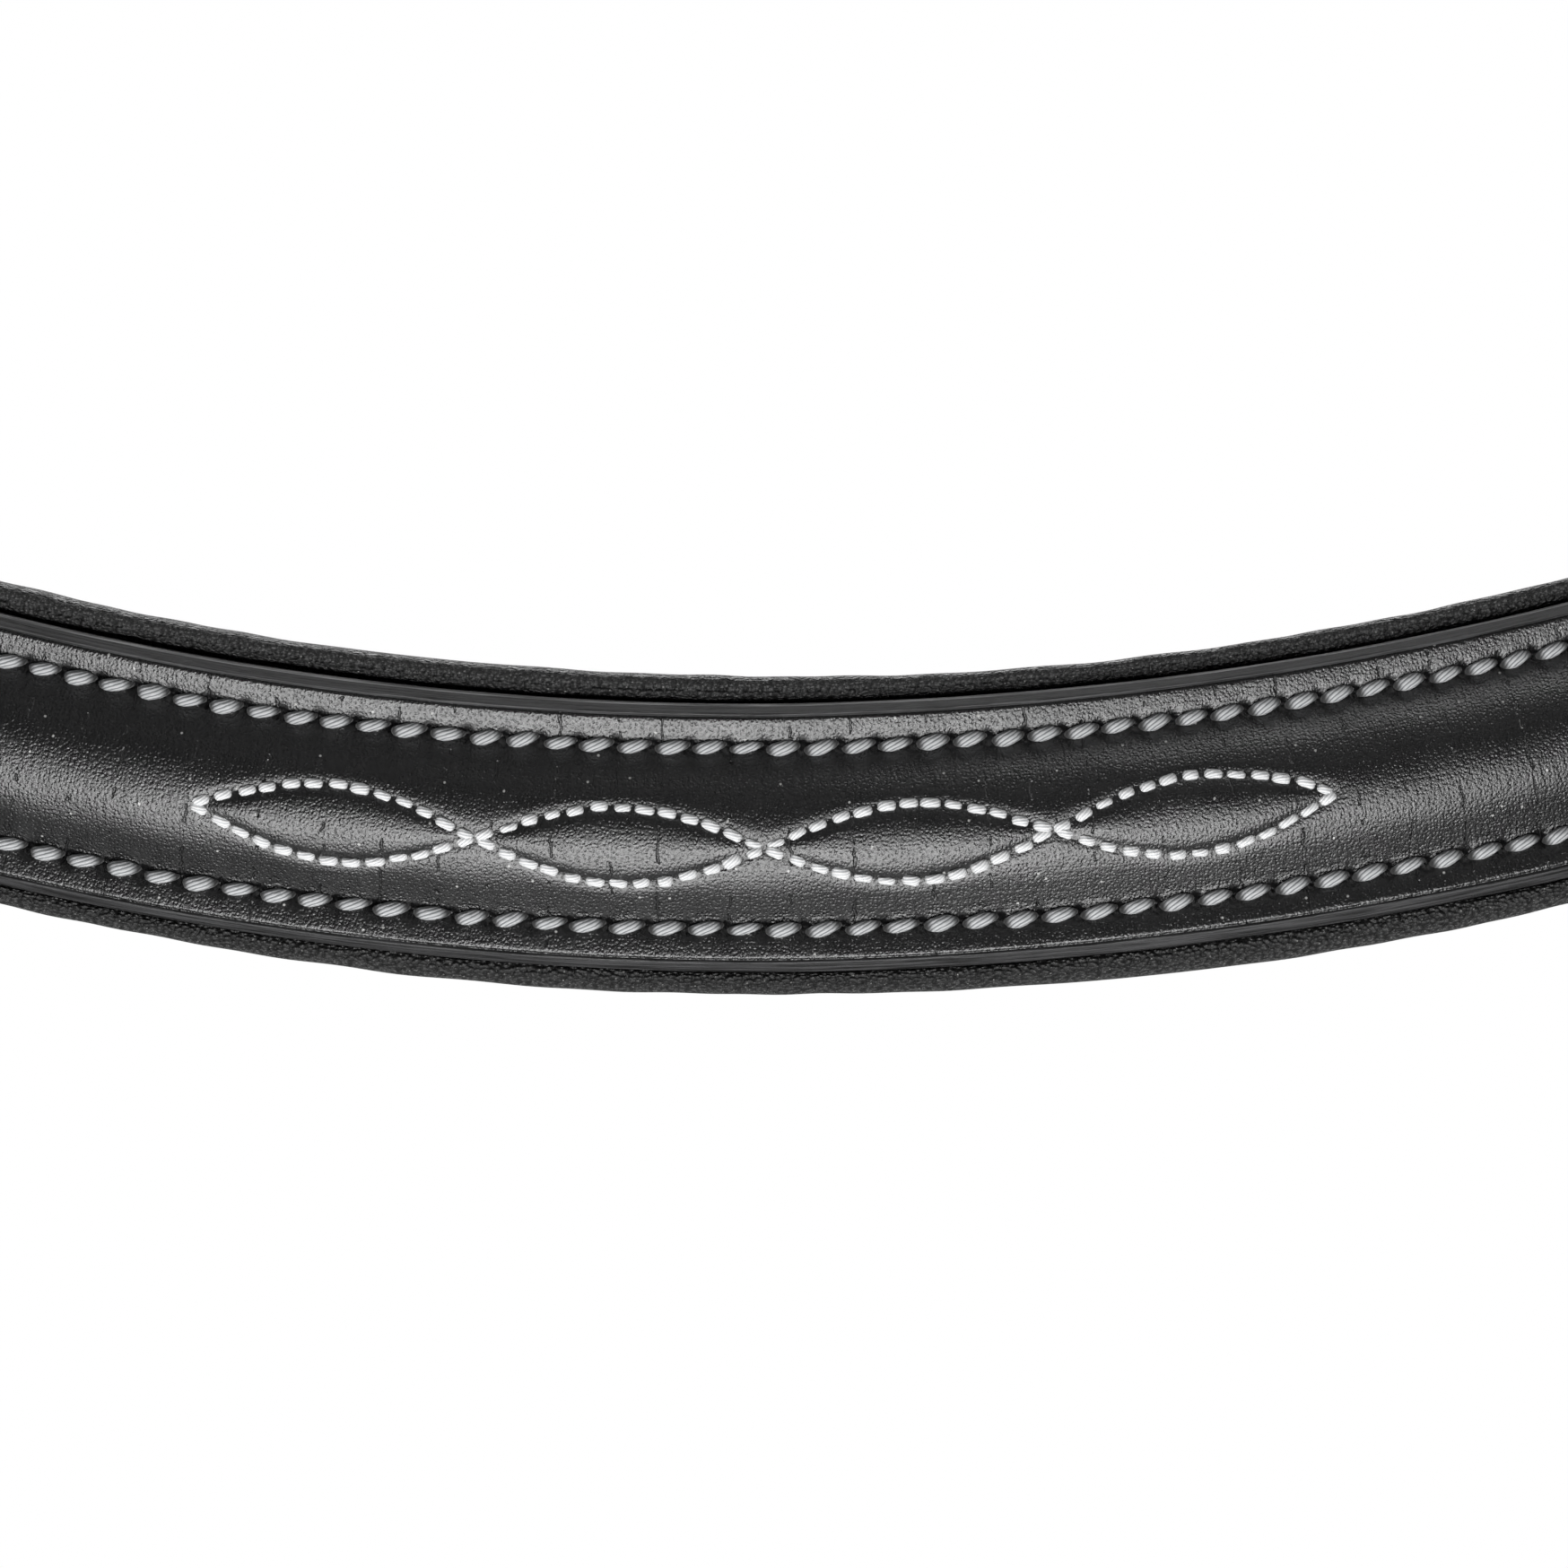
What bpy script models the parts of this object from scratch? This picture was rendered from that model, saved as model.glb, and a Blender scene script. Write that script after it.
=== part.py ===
"""A padded snaffle bridle with a raised, fancy-stitched browband and noseband, as it hangs from a poll.

Every strap is drawn in strap space, in millimetres: s runs along the strap, n stands out from the head,
and w runs across the strap. A line then bends that space round the head and gives metres. The head faces
-Y, +Z is up, +X is the near side, and the origin is the middle of the poll pad's underside.
"""

import math

import bmesh
import bpy
from mathutils import Matrix, Vector

MM = 0.001
GAP = 0.35  # between pieces that lie against each other
STEP = 7.5  # bent straps take a new facet at each whole number of these, so that neighbours bend alike
STRAIGHT_STEPS = 4  # nearly straight ones take a facet at every fourth

# Leather, from saddlery sizes: 5/8 inch cheeks, 1/2 inch throatlash and sliphead, 7/8 inch band facings.
STRAP_THICK = 2.4
BILLET_THICK = 3.0
CHEEK_WIDTH = 16.0
NARROW_WIDTH = 12.0

# The crown, and the heights of what hangs from it.
CROWN_LEVEL = 9.4  # the crown strap's middle above the poll pad's underside
CROWN_HALF_WIDTH = 21.0
SPLIT_HALF_WIDTH = 18.0
SPLIT_AT = 104.0
PAD_HALF_LENGTH = 95.0
PAD_HALF_WIDTH = 24.0
CHEEK_Y = -10.0
THROAT_Y = 12.0
CHEEK_BUCKLE_Z = -194.0
SLIPHEAD_BUCKLE_Z = -226.0
THROAT_BUCKLE_Z = -135.0
BIT_LOOP_Z = -461.0
NOSEBAND_Z = -352.0
BROWBAND_Z = -85.0  # at its loops; the middle is cut to hang lower

# The sliphead runs under the crown, then moves forward of the cheekpiece, and ends inside the noseband.
SLIPHEAD_Y = -8.0
SLIPHEAD_FORWARD = -22.0
FORWARD_FROM = 100.0
FORWARD_TO = 230.0
SLIPHEAD_N = -1.5 - GAP - BILLET_THICK / 2
SLIPHEAD_BUCKLE_N = -8.0
SLIPHEAD_END_N = -13.9
SLIPHEAD_END_LEAN = 0.125  # its ends stand upright, like the noseband, while the cheeks slope inwards

# The raised band: the browband and the front of the noseband share this section.
STITCH_ROW = 7.65  # from the band's middle to each row of edge stitching
FACING_HALF = 11.1
BASE_THICK = 2.5
MARGIN_TOP = 3.2
CREST_RISE = 3.3
FACING_THICK = 1.5
LEAF_LENGTH = 25.4
LEAF_HALF_HEIGHT = 3.3
LEAVES = 4
BROWBAND_RAISED_HALF = 116.0
NOSEBAND_RAISED_HALF = 106.0

# The browband's loops, where the crown's billets and the sliphead pass.
LOOP_RADIUS = 5.7
LOOP_REAR_Y = 24.0
LOOP_FRONT_Y = -29.0
SEAM_FROM_Y = -38.0
SEAM_TO_Y = -56.0

# Buckles, seen from the side: a runs from the bar towards the far bar, n stands out of the strap.
BAR_N = -4.1
FAR_BAR_A = 17.0
FAR_BAR_N = 3.5
BILLET_LIFT = 1.9  # how far the billet rises over the wrapped bar
TURNBACK = 36.0
KEEPER_AT = -18.0
KEEPER_HALF_LENGTH = 4.0
KEEPER_THICK = 1.4
TONGUE_WIDTH = 2.6
TONGUE_THICK = 1.4
SLOT_WIDTH = 3.5


def arc(radius, degrees):
    """The length and turn of an arc, for ArcChain; a negative turn bends the other way."""
    return math.radians(abs(degrees)) * radius, degrees


ARCH = [arc(150.0, 24.0), arc(62.4, 66.0)]
CHEEK_ARCS = ARCH + [arc(2300.0, 11.0)]
THROAT_ARCS = ARCH + [(141.4, 0.0), arc(98.0, 180.0)]
THROAT_ROUND = 2 * (sum(length for length, _ in ARCH) + 141.4 + math.pi * 98.0 / 2)
BROWBAND_PLAN = [arc(400.0, 10.74), arc(33.6, 79.26)]
BROWBAND_FRONT_Y = -98.0
BROWBAND_CUT = [arc(285.0, 14.5), arc(325.0, -14.5)]  # how the flat pattern curves, from its middle outwards
NOSE = (64.0, 70.0)
SIDE = (200.0, 40.0)
NOSEBAND_PLAN = [arc(*NOSE), arc(*SIDE), arc(64.0, 140.0), arc(*SIDE), arc(*NOSE)]
NOSEBAND_ROUND = sum(length for length, _ in NOSEBAND_PLAN)
NOSEBAND_FRONT_Y = -112.0
NOSEBAND_BUCKLE_S = 215.0
SLIPHEAD_END_Y = SLIPHEAD_Y + SLIPHEAD_FORWARD


def clear_scene():
    for obj in list(bpy.data.objects):
        bpy.data.objects.remove(obj)


def material(name, colour, roughness, metallic=0.0):
    made = bpy.data.materials.new(name)
    made.use_nodes = True
    shader = made.node_tree.nodes["Principled BSDF"]
    shader.inputs["Base Color"].default_value = (*colour, 1.0)
    shader.inputs["Roughness"].default_value = roughness
    shader.inputs["Metallic"].default_value = metallic
    return made


class ArcChain:
    """A plane curve made of arcs, which runs on straight past its end."""

    def __init__(self, start, arcs):
        self.knots = [(0.0, *start, 0.0, 0.0)]
        for length, turn in arcs:
            s, x, y, heading, _ = self.knots[-1]
            self.knots[-1] = (s, x, y, heading, math.radians(turn) / length)
            self.knots.append((s + length, *self.step(self.knots[-1], length), 0.0))

    @staticmethod
    def step(knot, length):
        _, x, y, heading, curvature = knot
        if abs(curvature) < 1e-9:
            return x + length * math.cos(heading), y + length * math.sin(heading), heading
        turned = heading + curvature * length
        across = (math.sin(turned) - math.sin(heading)) / curvature
        along = (math.cos(heading) - math.cos(turned)) / curvature
        return x + across, y + along, turned

    def bends(self, s):
        """Whether the curve at s is tighter than a metre's radius."""
        return abs([k for k in self.knots if k[0] <= abs(s)][-1][4]) > MM

    def at(self, s):
        """(x, y, heading in radians) at the distance s; the curve's other half is its mirror image."""
        knot = [k for k in self.knots if k[0] <= abs(s)][-1]
        x, y, heading = self.step(knot, abs(s) - knot[0])
        return (x, y, heading) if s >= 0 else (-x, y, -heading)


class HangingLine:
    """A strap over the poll and down both sides: w runs from front to back."""

    def __init__(self, arcs, y, forward=0.0):
        self.chain = ArcChain((0.0, -CROWN_LEVEL), arcs)
        self.y = y
        self.forward = forward

    def place(self, s, n, w):
        x, down, heading = self.chain.at(s)
        t = min(1.0, max(0.0, (abs(s) - FORWARD_FROM) / (FORWARD_TO - FORWARD_FROM)))
        y = self.y + self.forward * t * t * (3 - 2 * t) + w
        return Vector((x + n * math.sin(heading), y, -down + n * math.cos(heading))) * MM

    def bends(self, s):
        return self.chain.bends(s) or (self.forward != 0.0 and FORWARD_FROM < abs(s) < FORWARD_TO)

    def s_at(self, z):
        """Where the strap reaches the height z on its way down the near side."""
        arch_end = self.chain.knots[len(ARCH)]
        return arch_end[0] - arch_end[2] - z


class BandLine:
    """A band round the front of the head: cut to a flat curve, then bent round a wall; w runs upwards."""

    def __init__(self, plan, front_y, z, cut=()):
        self.plan = ArcChain((0.0, front_y), plan)
        self.cut = ArcChain((0.0, 0.0), cut)
        self.z = z - self.cut.knots[-1][2]

    def place(self, s, n, w):
        u, rise, slope = self.cut.at(s)
        x, y, heading = self.plan.at(u - w * math.sin(slope))
        z = self.z + rise + w * math.cos(slope)
        return Vector((x + n * math.sin(heading), y - n * math.cos(heading), z)) * MM

    def bends(self, s):
        return self.plan.bends(s)

    def s_at_side(self, y):
        """Where the band's straight side passes y."""
        wall = self.plan.knots[-1]
        cut = self.cut.knots[-1]
        return wall[0] + y - wall[2] + cut[0] - cut[1]


def divided(path, line):
    """The path with a point added at each whole number of STEP along s where its line bends."""
    points = [path[0]]
    for near, far in zip(path, path[1:]):
        low, high = sorted((near[0], far[0]))
        counts = range(math.ceil(low / STEP), math.floor(high / STEP) + 1)
        marks = [k * STEP for k in counts if k % STRAIGHT_STEPS == 0 or line.bends(k * STEP)]
        if far[0] < near[0]:
            marks.reverse()
        for mark in marks:
            if low + 0.8 < mark < high - 0.8:
                share = (mark - near[0]) / (far[0] - near[0])
                points.append(tuple(p + (q - p) * share for p, q in zip(near, far)))
        points.append(far)
    return points


def mirrored(path):
    """The path's reflection in s = 0, from its far end inwards."""
    return [(-point[0], *point[1:]) for point in reversed(path)]


def loft(rings):
    """A closed skin through rings of points, made by extruding the first ring from one to the next."""
    mesh = bmesh.new()
    cap = mesh.faces.new([mesh.verts.new(p) for p in rings[0]])
    for count, ring in enumerate(rings[1:]):
        made = bmesh.ops.extrude_face_region(mesh, geom=[cap])["geom"]
        if count:
            bmesh.ops.delete(mesh, geom=[cap], context="FACES_ONLY")
        cap = next(part for part in made if isinstance(part, bmesh.types.BMFace))
        for vertex, point in zip(cap.verts, ring):
            vertex.co = point
    return mesh


def finish(name, mesh, line, look, origin=(0, 0, 0)):
    """Bends a strap-space mesh along its line and makes it an object whose origin, in metres, is origin."""
    for vertex in mesh.verts:
        vertex.co = line.place(*vertex.co) - Vector(origin)
    bmesh.ops.recalc_face_normals(mesh, faces=mesh.faces)
    if mesh.calc_volume(signed=True) < 0:
        bmesh.ops.reverse_faces(mesh, faces=mesh.faces)
    data = bpy.data.meshes.new(name)
    mesh.to_mesh(data)
    mesh.free()
    data.shade_smooth()
    data.set_sharp_from_angle(angle=math.radians(35))
    data.materials.append(look)
    obj = bpy.data.objects.new(name, data)
    obj.location = origin
    bpy.context.scene.collection.objects.link(obj)
    return obj


def ribbon(path, thickness, line):
    """A strap's skin along (s, n, width) points, its thickness set off square to the path."""
    path = divided(path, line)
    rings = []
    for i, (s, n, width) in enumerate(path):
        before = path[max(i - 1, 0)]
        after = path[min(i + 1, len(path) - 1)]
        first = Vector((s - before[0], n - before[1]))
        second = Vector((after[0] - s, after[1] - n))
        first = (first if first.length > 1e-6 else second).normalized()
        second = (second if second.length > 1e-6 else first).normalized()
        along = (first + second).normalized()
        reach = thickness / 2 / max(0.5, along.dot(first))
        off_s, off_n = -along.y * reach, along.x * reach
        half = width / 2
        rings.append([(s - off_s, n - off_n, -half), (s + off_s, n + off_n, -half),
                      (s + off_s, n + off_n, half), (s - off_s, n - off_n, half)])
    return loft(rings)


def half_ring(centre, radius, start, end, count):
    """(s, n) points on an arc, with its angles in degrees from the direction of s."""
    steps = [math.radians(start + (end - start) * i / count) for i in range(count + 1)]
    return [(centre[0] + radius * math.cos(t), centre[1] + radius * math.sin(t)) for t in steps]


def hide_cutter(obj):
    obj.hide_render = True
    obj.display_type = "WIRE"
    return obj


def box_cutter(name, line, span_s, span_n, width, look):
    s0, s1 = sorted(span_s)
    n0, n1 = span_n
    half = width / 2
    rings = [[(s, n0, -half), (s, n1, -half), (s, n1, half), (s, n0, half)] for s in (s0, s1)]
    return hide_cutter(finish(name, loft(rings), line, look))


def peg(levels, s, sides=10):
    """A round peg standing along n at s: levels lists (n, radius)."""
    rings = []
    for n, radius in levels:
        angles = [2 * math.pi * i / sides for i in range(sides)]
        rings.append([(s + radius * math.cos(t), n, radius * math.sin(t)) for t in angles])
    return loft(rings)


def combine(obj, other, operation="DIFFERENCE"):
    step = obj.modifiers.new(operation.lower(), "BOOLEAN")
    step.operation = operation
    step.solver = "EXACT"
    step.object = other


def hang_on(pivot_name, place, objects):
    """Parents objects to an empty on their joint's axis, leaving them where they are."""
    pivot = bpy.data.objects.new(pivot_name, None)
    pivot.location = Vector(place) * MM
    bpy.context.scene.collection.objects.link(pivot)
    for obj in objects:
        obj.parent = pivot
        obj.matrix_parent_inverse = Matrix.Translation(-pivot.location)


def tube(low, high, half, spans):
    """A leather loop, open at both ends, round straps from n = low to high and w = -half to half."""
    outline = []
    for grow, corner in ((KEEPER_THICK, 1.6), (0.0, 0.5)):
        n0, n1, w1 = low - grow, high + grow, half + grow
        outline.append([(n0, corner - w1), (n0, w1 - corner), (n0 + corner, w1), (n1 - corner, w1),
                        (n1, w1 - corner), (n1, corner - w1), (n1 - corner, -w1), (n0 + corner, -w1)])
    mesh = bmesh.new()
    near, far = [[[mesh.verts.new((s, n, w)) for n, w in loop] for loop in outline] for s in spans]
    for i in range(8):
        j = (i + 1) % 8
        for k in (0, 1):
            mesh.faces.new([near[k][i], near[k][j], far[k][j], far[k][i]])
        for end in (near, far):
            mesh.faces.new([end[0][i], end[0][j], end[1][j], end[1][i]])
    return mesh


class Buckle:
    """A buckle and the strap ends in it; side is +1 where the billet comes from lower s, else -1."""

    def __init__(self, name, line, at, side, width, wire=1.5, level=0.0, reach=78.0):
        self.name = name
        self.line = line
        self.at = at
        self.side = side
        self.width = width
        self.wire = wire
        self.level = level
        self.reach = reach
        self.bar = level + BAR_N
        self.turn = wire + 0.3 + STRAP_THICK / 2  # radius at which the strap turns round the bar
        self.outer = self.bar + self.turn
        self.over = level + BILLET_LIFT

    def s(self, a):
        return self.at - self.side * a

    def points(self, path):
        return [(self.s(a), *rest) for a, *rest in path]

    def wrapped_end(self):
        """The strap's sewn turn-back and its turn round the bar, up to the outer layer."""
        inner = self.outer - STRAP_THICK - 0.15
        turn = half_ring((0, self.bar), self.turn, -106, 90, 7)
        return self.points([(a, n, self.width) for a, n in [(-TURNBACK, inner), (-13.0, inner), *turn]])

    def billet_end(self):
        """The billet from above the far bar, over the wrapped bar, to its rounded tip."""
        rise = [(FAR_BAR_A + 4, self.level), (14.5, self.level), (9.0, self.level + 0.7), (4.5, self.over)]
        path = [(a, n, self.width) for a, n in rise]
        for back, share in ((9.0, 1.0), (4.5, 0.92), (1.6, 0.66), (0.0, 0.3)):
            path.append((back - self.reach, self.over, self.width * share))
        return self.points(path)

    def cut_bar_slot(self, strap, look):
        """The slot in the wrapped end, where the tongue turns."""
        top = self.outer + STRAP_THICK / 2 + 0.15
        spans = (self.s(-4.5), self.s(4.9)), (self.bar - self.turn - 2.0, top)
        combine(strap, box_cutter(self.name + "_bar_slot", self.line, *spans, SLOT_WIDTH, look))

    def cut_billet_hole(self, billet, look):
        """The hole in use, drawn as a short slot so that the tongue can swing in it."""
        spans = (self.s(-3.2), self.s(3.2)), (self.over - 1.65, self.over + 2.0)
        combine(billet, box_cutter(self.name + "_billet_hole", self.line, *spans, SLOT_WIDTH, look))

    def frame(self, look):
        """A square wire frame whose far bar stands higher than the wrapped bar."""
        half = self.width / 2 + 0.7 + self.wire
        outline = []
        for a, corner, start in ((2.2, 2.2, -90), (FAR_BAR_A - 4.0, 4.0, 0)):
            for turn in range(0, 91, 30):
                angle = math.radians(start + turn)
                outline.append((a + corner * math.sin(angle), half - corner + corner * math.cos(angle)))
        outline += [(a, -w) for a, w in reversed(outline)]
        curve = bpy.data.curves.new(self.name + "_frame", "CURVE")
        curve.dimensions = "3D"
        curve.bevel_depth = self.wire * MM
        curve.bevel_resolution = 1
        spline = curve.splines.new("POLY")
        spline.points.add(len(outline) - 1)
        spline.use_cyclic_u = True
        for knot, (a, w) in zip(spline.points, outline):
            n = self.bar + (FAR_BAR_N - BAR_N) * a / FAR_BAR_A
            knot.co = (*self.line.place(self.s(a), n, w), 1.0)
        curve.materials.append(look)
        obj = bpy.data.objects.new(self.name + "_frame", curve)
        bpy.context.scene.collection.objects.link(obj)
        return obj

    def tongue(self, look):
        """A flat pin: its eye turns round the bar, and its tip rests over the far bar."""
        eye = half_ring((0, BAR_N), self.wire + 0.25 + TONGUE_THICK / 2, 330, 155, 8)
        arm = [(0.1, 1.9), (0.75, 3.3), (2.0, 4.5), (4.2, 5.3), (FAR_BAR_A - 1.5, 6.25)]
        path = [(a, n + self.level, TONGUE_WIDTH) for a, n in eye + arm]
        path.append((FAR_BAR_A + 1.2, 6.2 + self.level, 1.8))
        mesh = ribbon(self.points(path), TONGUE_THICK, self.line)
        return finish(self.name + "_tongue", mesh, self.line, look, self.line.place(self.at, self.bar, 0))

    def keeper(self, name, a, look, turned_back=False, billet=True):
        """A leather loop at a, round the strap and, where they are, its turned-back layer and the billet."""
        low = self.outer - STRAP_THICK / 2 - GAP
        low -= (STRAP_THICK + GAP) * turned_back
        high = self.over + BILLET_THICK / 2 if billet else self.outer + STRAP_THICK / 2
        spans = (self.s(a - KEEPER_HALF_LENGTH), self.s(a + KEEPER_HALF_LENGTH))
        mesh = tube(low, high + GAP, self.width / 2 + 0.45, spans)
        return finish(name, mesh, self.line, look, self.line.place(self.s(a), self.level, 0))

    def hardware(self, prefix, looks, runner_at=-50.0):
        """The frame, the tongue, the fixed keeper and the runner."""
        return [
            self.frame(looks["steel"]),
            self.tongue(looks["steel"]),
            self.keeper(prefix + "_fixed_keeper", KEEPER_AT, looks["leather"], turned_back=True),
            self.keeper(prefix + "_runner", runner_at, looks["leather"]),
        ]


class RaisedBand:
    """The padded, raised and stitched front of the browband or noseband."""

    def __init__(self, name, line, half_length):
        self.name = name
        self.line = line
        self.half = half_length

    @staticmethod
    def ends(half):
        """How a band closes in over its last few millimetres: (s, share of its width)."""
        shares = [(half - 6.0, 1.0), (half - 2.4, 0.92), (half, 0.72)]
        return mirrored(shares) + shares

    def bar(self, name, section, half, look):
        """A (w, n) section drawn along the band."""
        rings = [[(s, n, w * share) for w, n in section] for s, share in divided(self.ends(half), self.line)]
        return finish(self.name + name, loft(rings), self.line, look)

    def base_path(self):
        """The base strap under the raised part, narrowed to fit inside the lining's ends."""
        path = [(s, 0.0, 2 * FACING_HALF * share * 0.98) for s, share in self.ends(self.half + 1)]
        plain = (self.half + 4.0, 0.0, CHEEK_WIDTH)
        return mirrored([plain]) + path + [plain]

    @staticmethod
    def crest(w):
        """How far the facing's grain side stands out at w."""
        share = max(0.0, math.cos(math.pi / 2 * w / (STITCH_ROW - 0.6))) if abs(w) < STITCH_ROW - 0.6 else 0.0
        return MARGIN_TOP + CREST_RISE * share ** 1.5

    def facing(self, look):
        edge = [(FACING_HALF - 0.7, MARGIN_TOP + 0.1), (FACING_HALF, 2.6)]
        top = [(w, self.crest(w)) for w in (-7.0, -5.4, -3.4, 0.0, 3.4, 5.4, 7.0)]
        under = [(w, self.crest(w) - FACING_THICK) for w in (5.6, 3.4, 0.0, -3.4, -5.6)]
        low = [(FACING_HALF, 1.6), (6.6, 1.6)]
        section = [(-w, n) for w, n in reversed(edge)] + top + edge + low + under
        section += [(-w, n) for w, n in reversed(low)]
        return self.bar("_facing", section, self.half, look)

    def core(self, look):
        top = [(w, self.crest(w) - FACING_THICK - 0.4) for w in (3.4, 0.0, -3.4)]
        return self.bar("_core", [(-5.6, 1.65), (5.6, 1.65), *top], self.half - 8, look)

    def padding(self, look):
        side = [(9.0, -5.3), (11.2, -3.4), (9.6, -1.7)]
        return self.bar("_padding", side + [(-w, n) for w, n in reversed(side)], self.half - 3, look)

    def lining(self, look):
        """A soft skin round the padding, with a rolled rim along each side of the base strap."""
        rim = [(11.55, -1.2), (11.6, 0.2), (12.5, 0.9), (13.4, 0.1), (13.6, -2.0), (12.4, -5.0), (9.2, -6.5)]
        inner = [(9.4, -5.65), (11.7, -3.45), (10.1, -1.6)]
        section = rim + [(-w, n) for w, n in reversed(rim)]
        section += [(-w, n) for w, n in reversed(inner)] + inner
        return self.bar("_lining", section, self.half + 1, look)

    def cord(self, name, path, look):
        """A three-sided thread along (s, n, w) points."""
        half = 0.4
        rings = [[(s, n, w - half), (s, n + 0.6, w), (s, n, w + half)] for s, n, w in path]
        return finish(self.name + name, loft(rings), self.line, look)

    def edge_thread(self, name, side, look):
        reach = self.half - 8
        row = side * STITCH_ROW
        return self.cord(name, divided([(-reach, 3.5, row), (reach, 3.5, row)], self.line), look)

    def fancy_thread(self, look):
        """Two waves of thread that cross between the leaves, joined where they cross."""
        count = LEAVES * 8
        waves = []
        for side, lift, name in ((1, 0.3, "_fancy_thread"), (-1, 0.42, "_fancy_thread_under")):
            path = []
            for i in range(count + 1):
                s = LEAF_LENGTH * (LEAVES * i / count - LEAVES / 2)
                w = side * LEAF_HALF_HEIGHT * math.sin(math.pi * s / LEAF_LENGTH)
                path.append((s, self.crest(w) + lift, w))
            waves.append(self.cord(name, path, look))
        combine(waves[0], hide_cutter(waves[1]), "UNION")
        return waves[0]

    def layers(self, looks):
        return [
            self.facing(looks["leather"]),
            self.core(looks["felt"]),
            self.padding(looks["foam"]),
            self.lining(looks["soft_leather"]),
            self.edge_thread("_upper_edge_thread", 1, looks["thread"]),
            self.edge_thread("_lower_edge_thread", -1, looks["thread"]),
            self.fancy_thread(looks["thread"]),
        ]


def grow_tail(mesh, edge, path, middle):
    """Carries a flat sheet on from two of its vertices along a path of (s, n, width)."""
    for s, n, width in path:
        corners = [mesh.verts.new((s, n - BILLET_THICK / 2, middle + side * width / 2)) for side in (-1, 1)]
        mesh.faces.new([edge[0], edge[1], corners[1], corners[0]])
        edge = corners


def crown_strap(cheek_buckles, looks):
    """One strap over the poll, split at each side into a cheek billet and a throatlash stub."""
    line = HangingLine(CHEEK_ARCS, 0.0)
    mesh = bmesh.new()
    rows = []
    whole = [(-SPLIT_AT, SPLIT_HALF_WIDTH), (0.0, CROWN_HALF_WIDTH), (SPLIT_AT, SPLIT_HALF_WIDTH)]
    for s, half in divided(whole, line):
        columns = (-half, CHEEK_Y + CHEEK_WIDTH / 2, THROAT_Y - NARROW_WIDTH / 2, half)
        rows.append([mesh.verts.new((s, -BILLET_THICK / 2, w)) for w in columns])
    for near, far in zip(rows, rows[1:]):
        for i in range(3):
            mesh.faces.new([near[i], near[i + 1], far[i + 1], far[i]])
    hinge = line.s_at(BROWBAND_Z)
    for buckle, row in zip(cheek_buckles, (rows[-1], rows[0])):
        split = (buckle.side * SPLIT_AT, 0.0, CHEEK_WIDTH)
        grow_tail(mesh, row[:2], divided([split] + buckle.billet_end(), line)[1:], CHEEK_Y)
        stub = [(buckle.side * s, 0.0, NARROW_WIDTH) for s in (SPLIT_AT, hinge - 6.5)]
        grow_tail(mesh, row[2:], divided(stub, line)[1:], THROAT_Y)
    made = bmesh.ops.extrude_face_region(mesh, geom=mesh.faces[:])["geom"]
    for vertex in (part for part in made if isinstance(part, bmesh.types.BMVert)):
        vertex.co.y += BILLET_THICK
    crown = finish("crown_strap", mesh, line, looks["leather"])
    for buckle in cheek_buckles:
        buckle.cut_billet_hole(crown, looks["steel"])


def crown_pad(look):
    """The poll pad, with a channel along its top for the sliphead."""
    line = HangingLine(CHEEK_ARCS, 0.0)
    top = -BILLET_THICK / 2 - GAP
    floor = SLIPHEAD_N - BILLET_THICK / 2 - GAP
    channel = [SLIPHEAD_Y + side * (NARROW_WIDTH / 2 + 0.5) for side in (-1, 1)]
    rings = []
    ends = [(PAD_HALF_LENGTH - 9, PAD_HALF_WIDTH), (PAD_HALF_LENGTH - 3, PAD_HALF_WIDTH - 1.5),
            (PAD_HALF_LENGTH, PAD_HALF_WIDTH - 5)]
    for s, half in divided(mirrored(ends) + ends, line):
        side = [(half - 2, top), (half, -4.6), (half - 2, -8.0), (half - 7, -CROWN_LEVEL)]
        section = [(-w, n) for w, n in reversed(side)]
        section += [(channel[0], top), (channel[0], floor), (channel[1], floor), (channel[1], top)]
        rings.append([(s, n, w) for w, n in section + side])
    finish("crown_pad", loft(rings), line, look)


def browband(looks):
    """The raised band, whose base strap ends in a sewn loop at each side."""
    line = BandLine(BROWBAND_PLAN, BROWBAND_FRONT_Y, BROWBAND_Z, BROWBAND_CUT)
    band = RaisedBand("browband", line, BROWBAND_RAISED_HALF)
    inner = -2 * LOOP_RADIUS
    sewn = -BASE_THICK - GAP
    turn = half_ring((line.s_at_side(LOOP_REAR_Y), inner / 2), LOOP_RADIUS, 90, -90, 6)
    back = [(line.s_at_side(LOOP_FRONT_Y), inner), (line.s_at_side(SEAM_FROM_Y), sewn),
            (line.s_at_side(SEAM_TO_Y), sewn)]
    loop = [(s, n, CHEEK_WIDTH) for s, n in turn + back]
    path = mirrored(loop) + band.base_path() + loop
    finish("browband_base", ribbon(path, BASE_THICK, line), line, looks["leather"])
    band.layers(looks)


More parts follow.
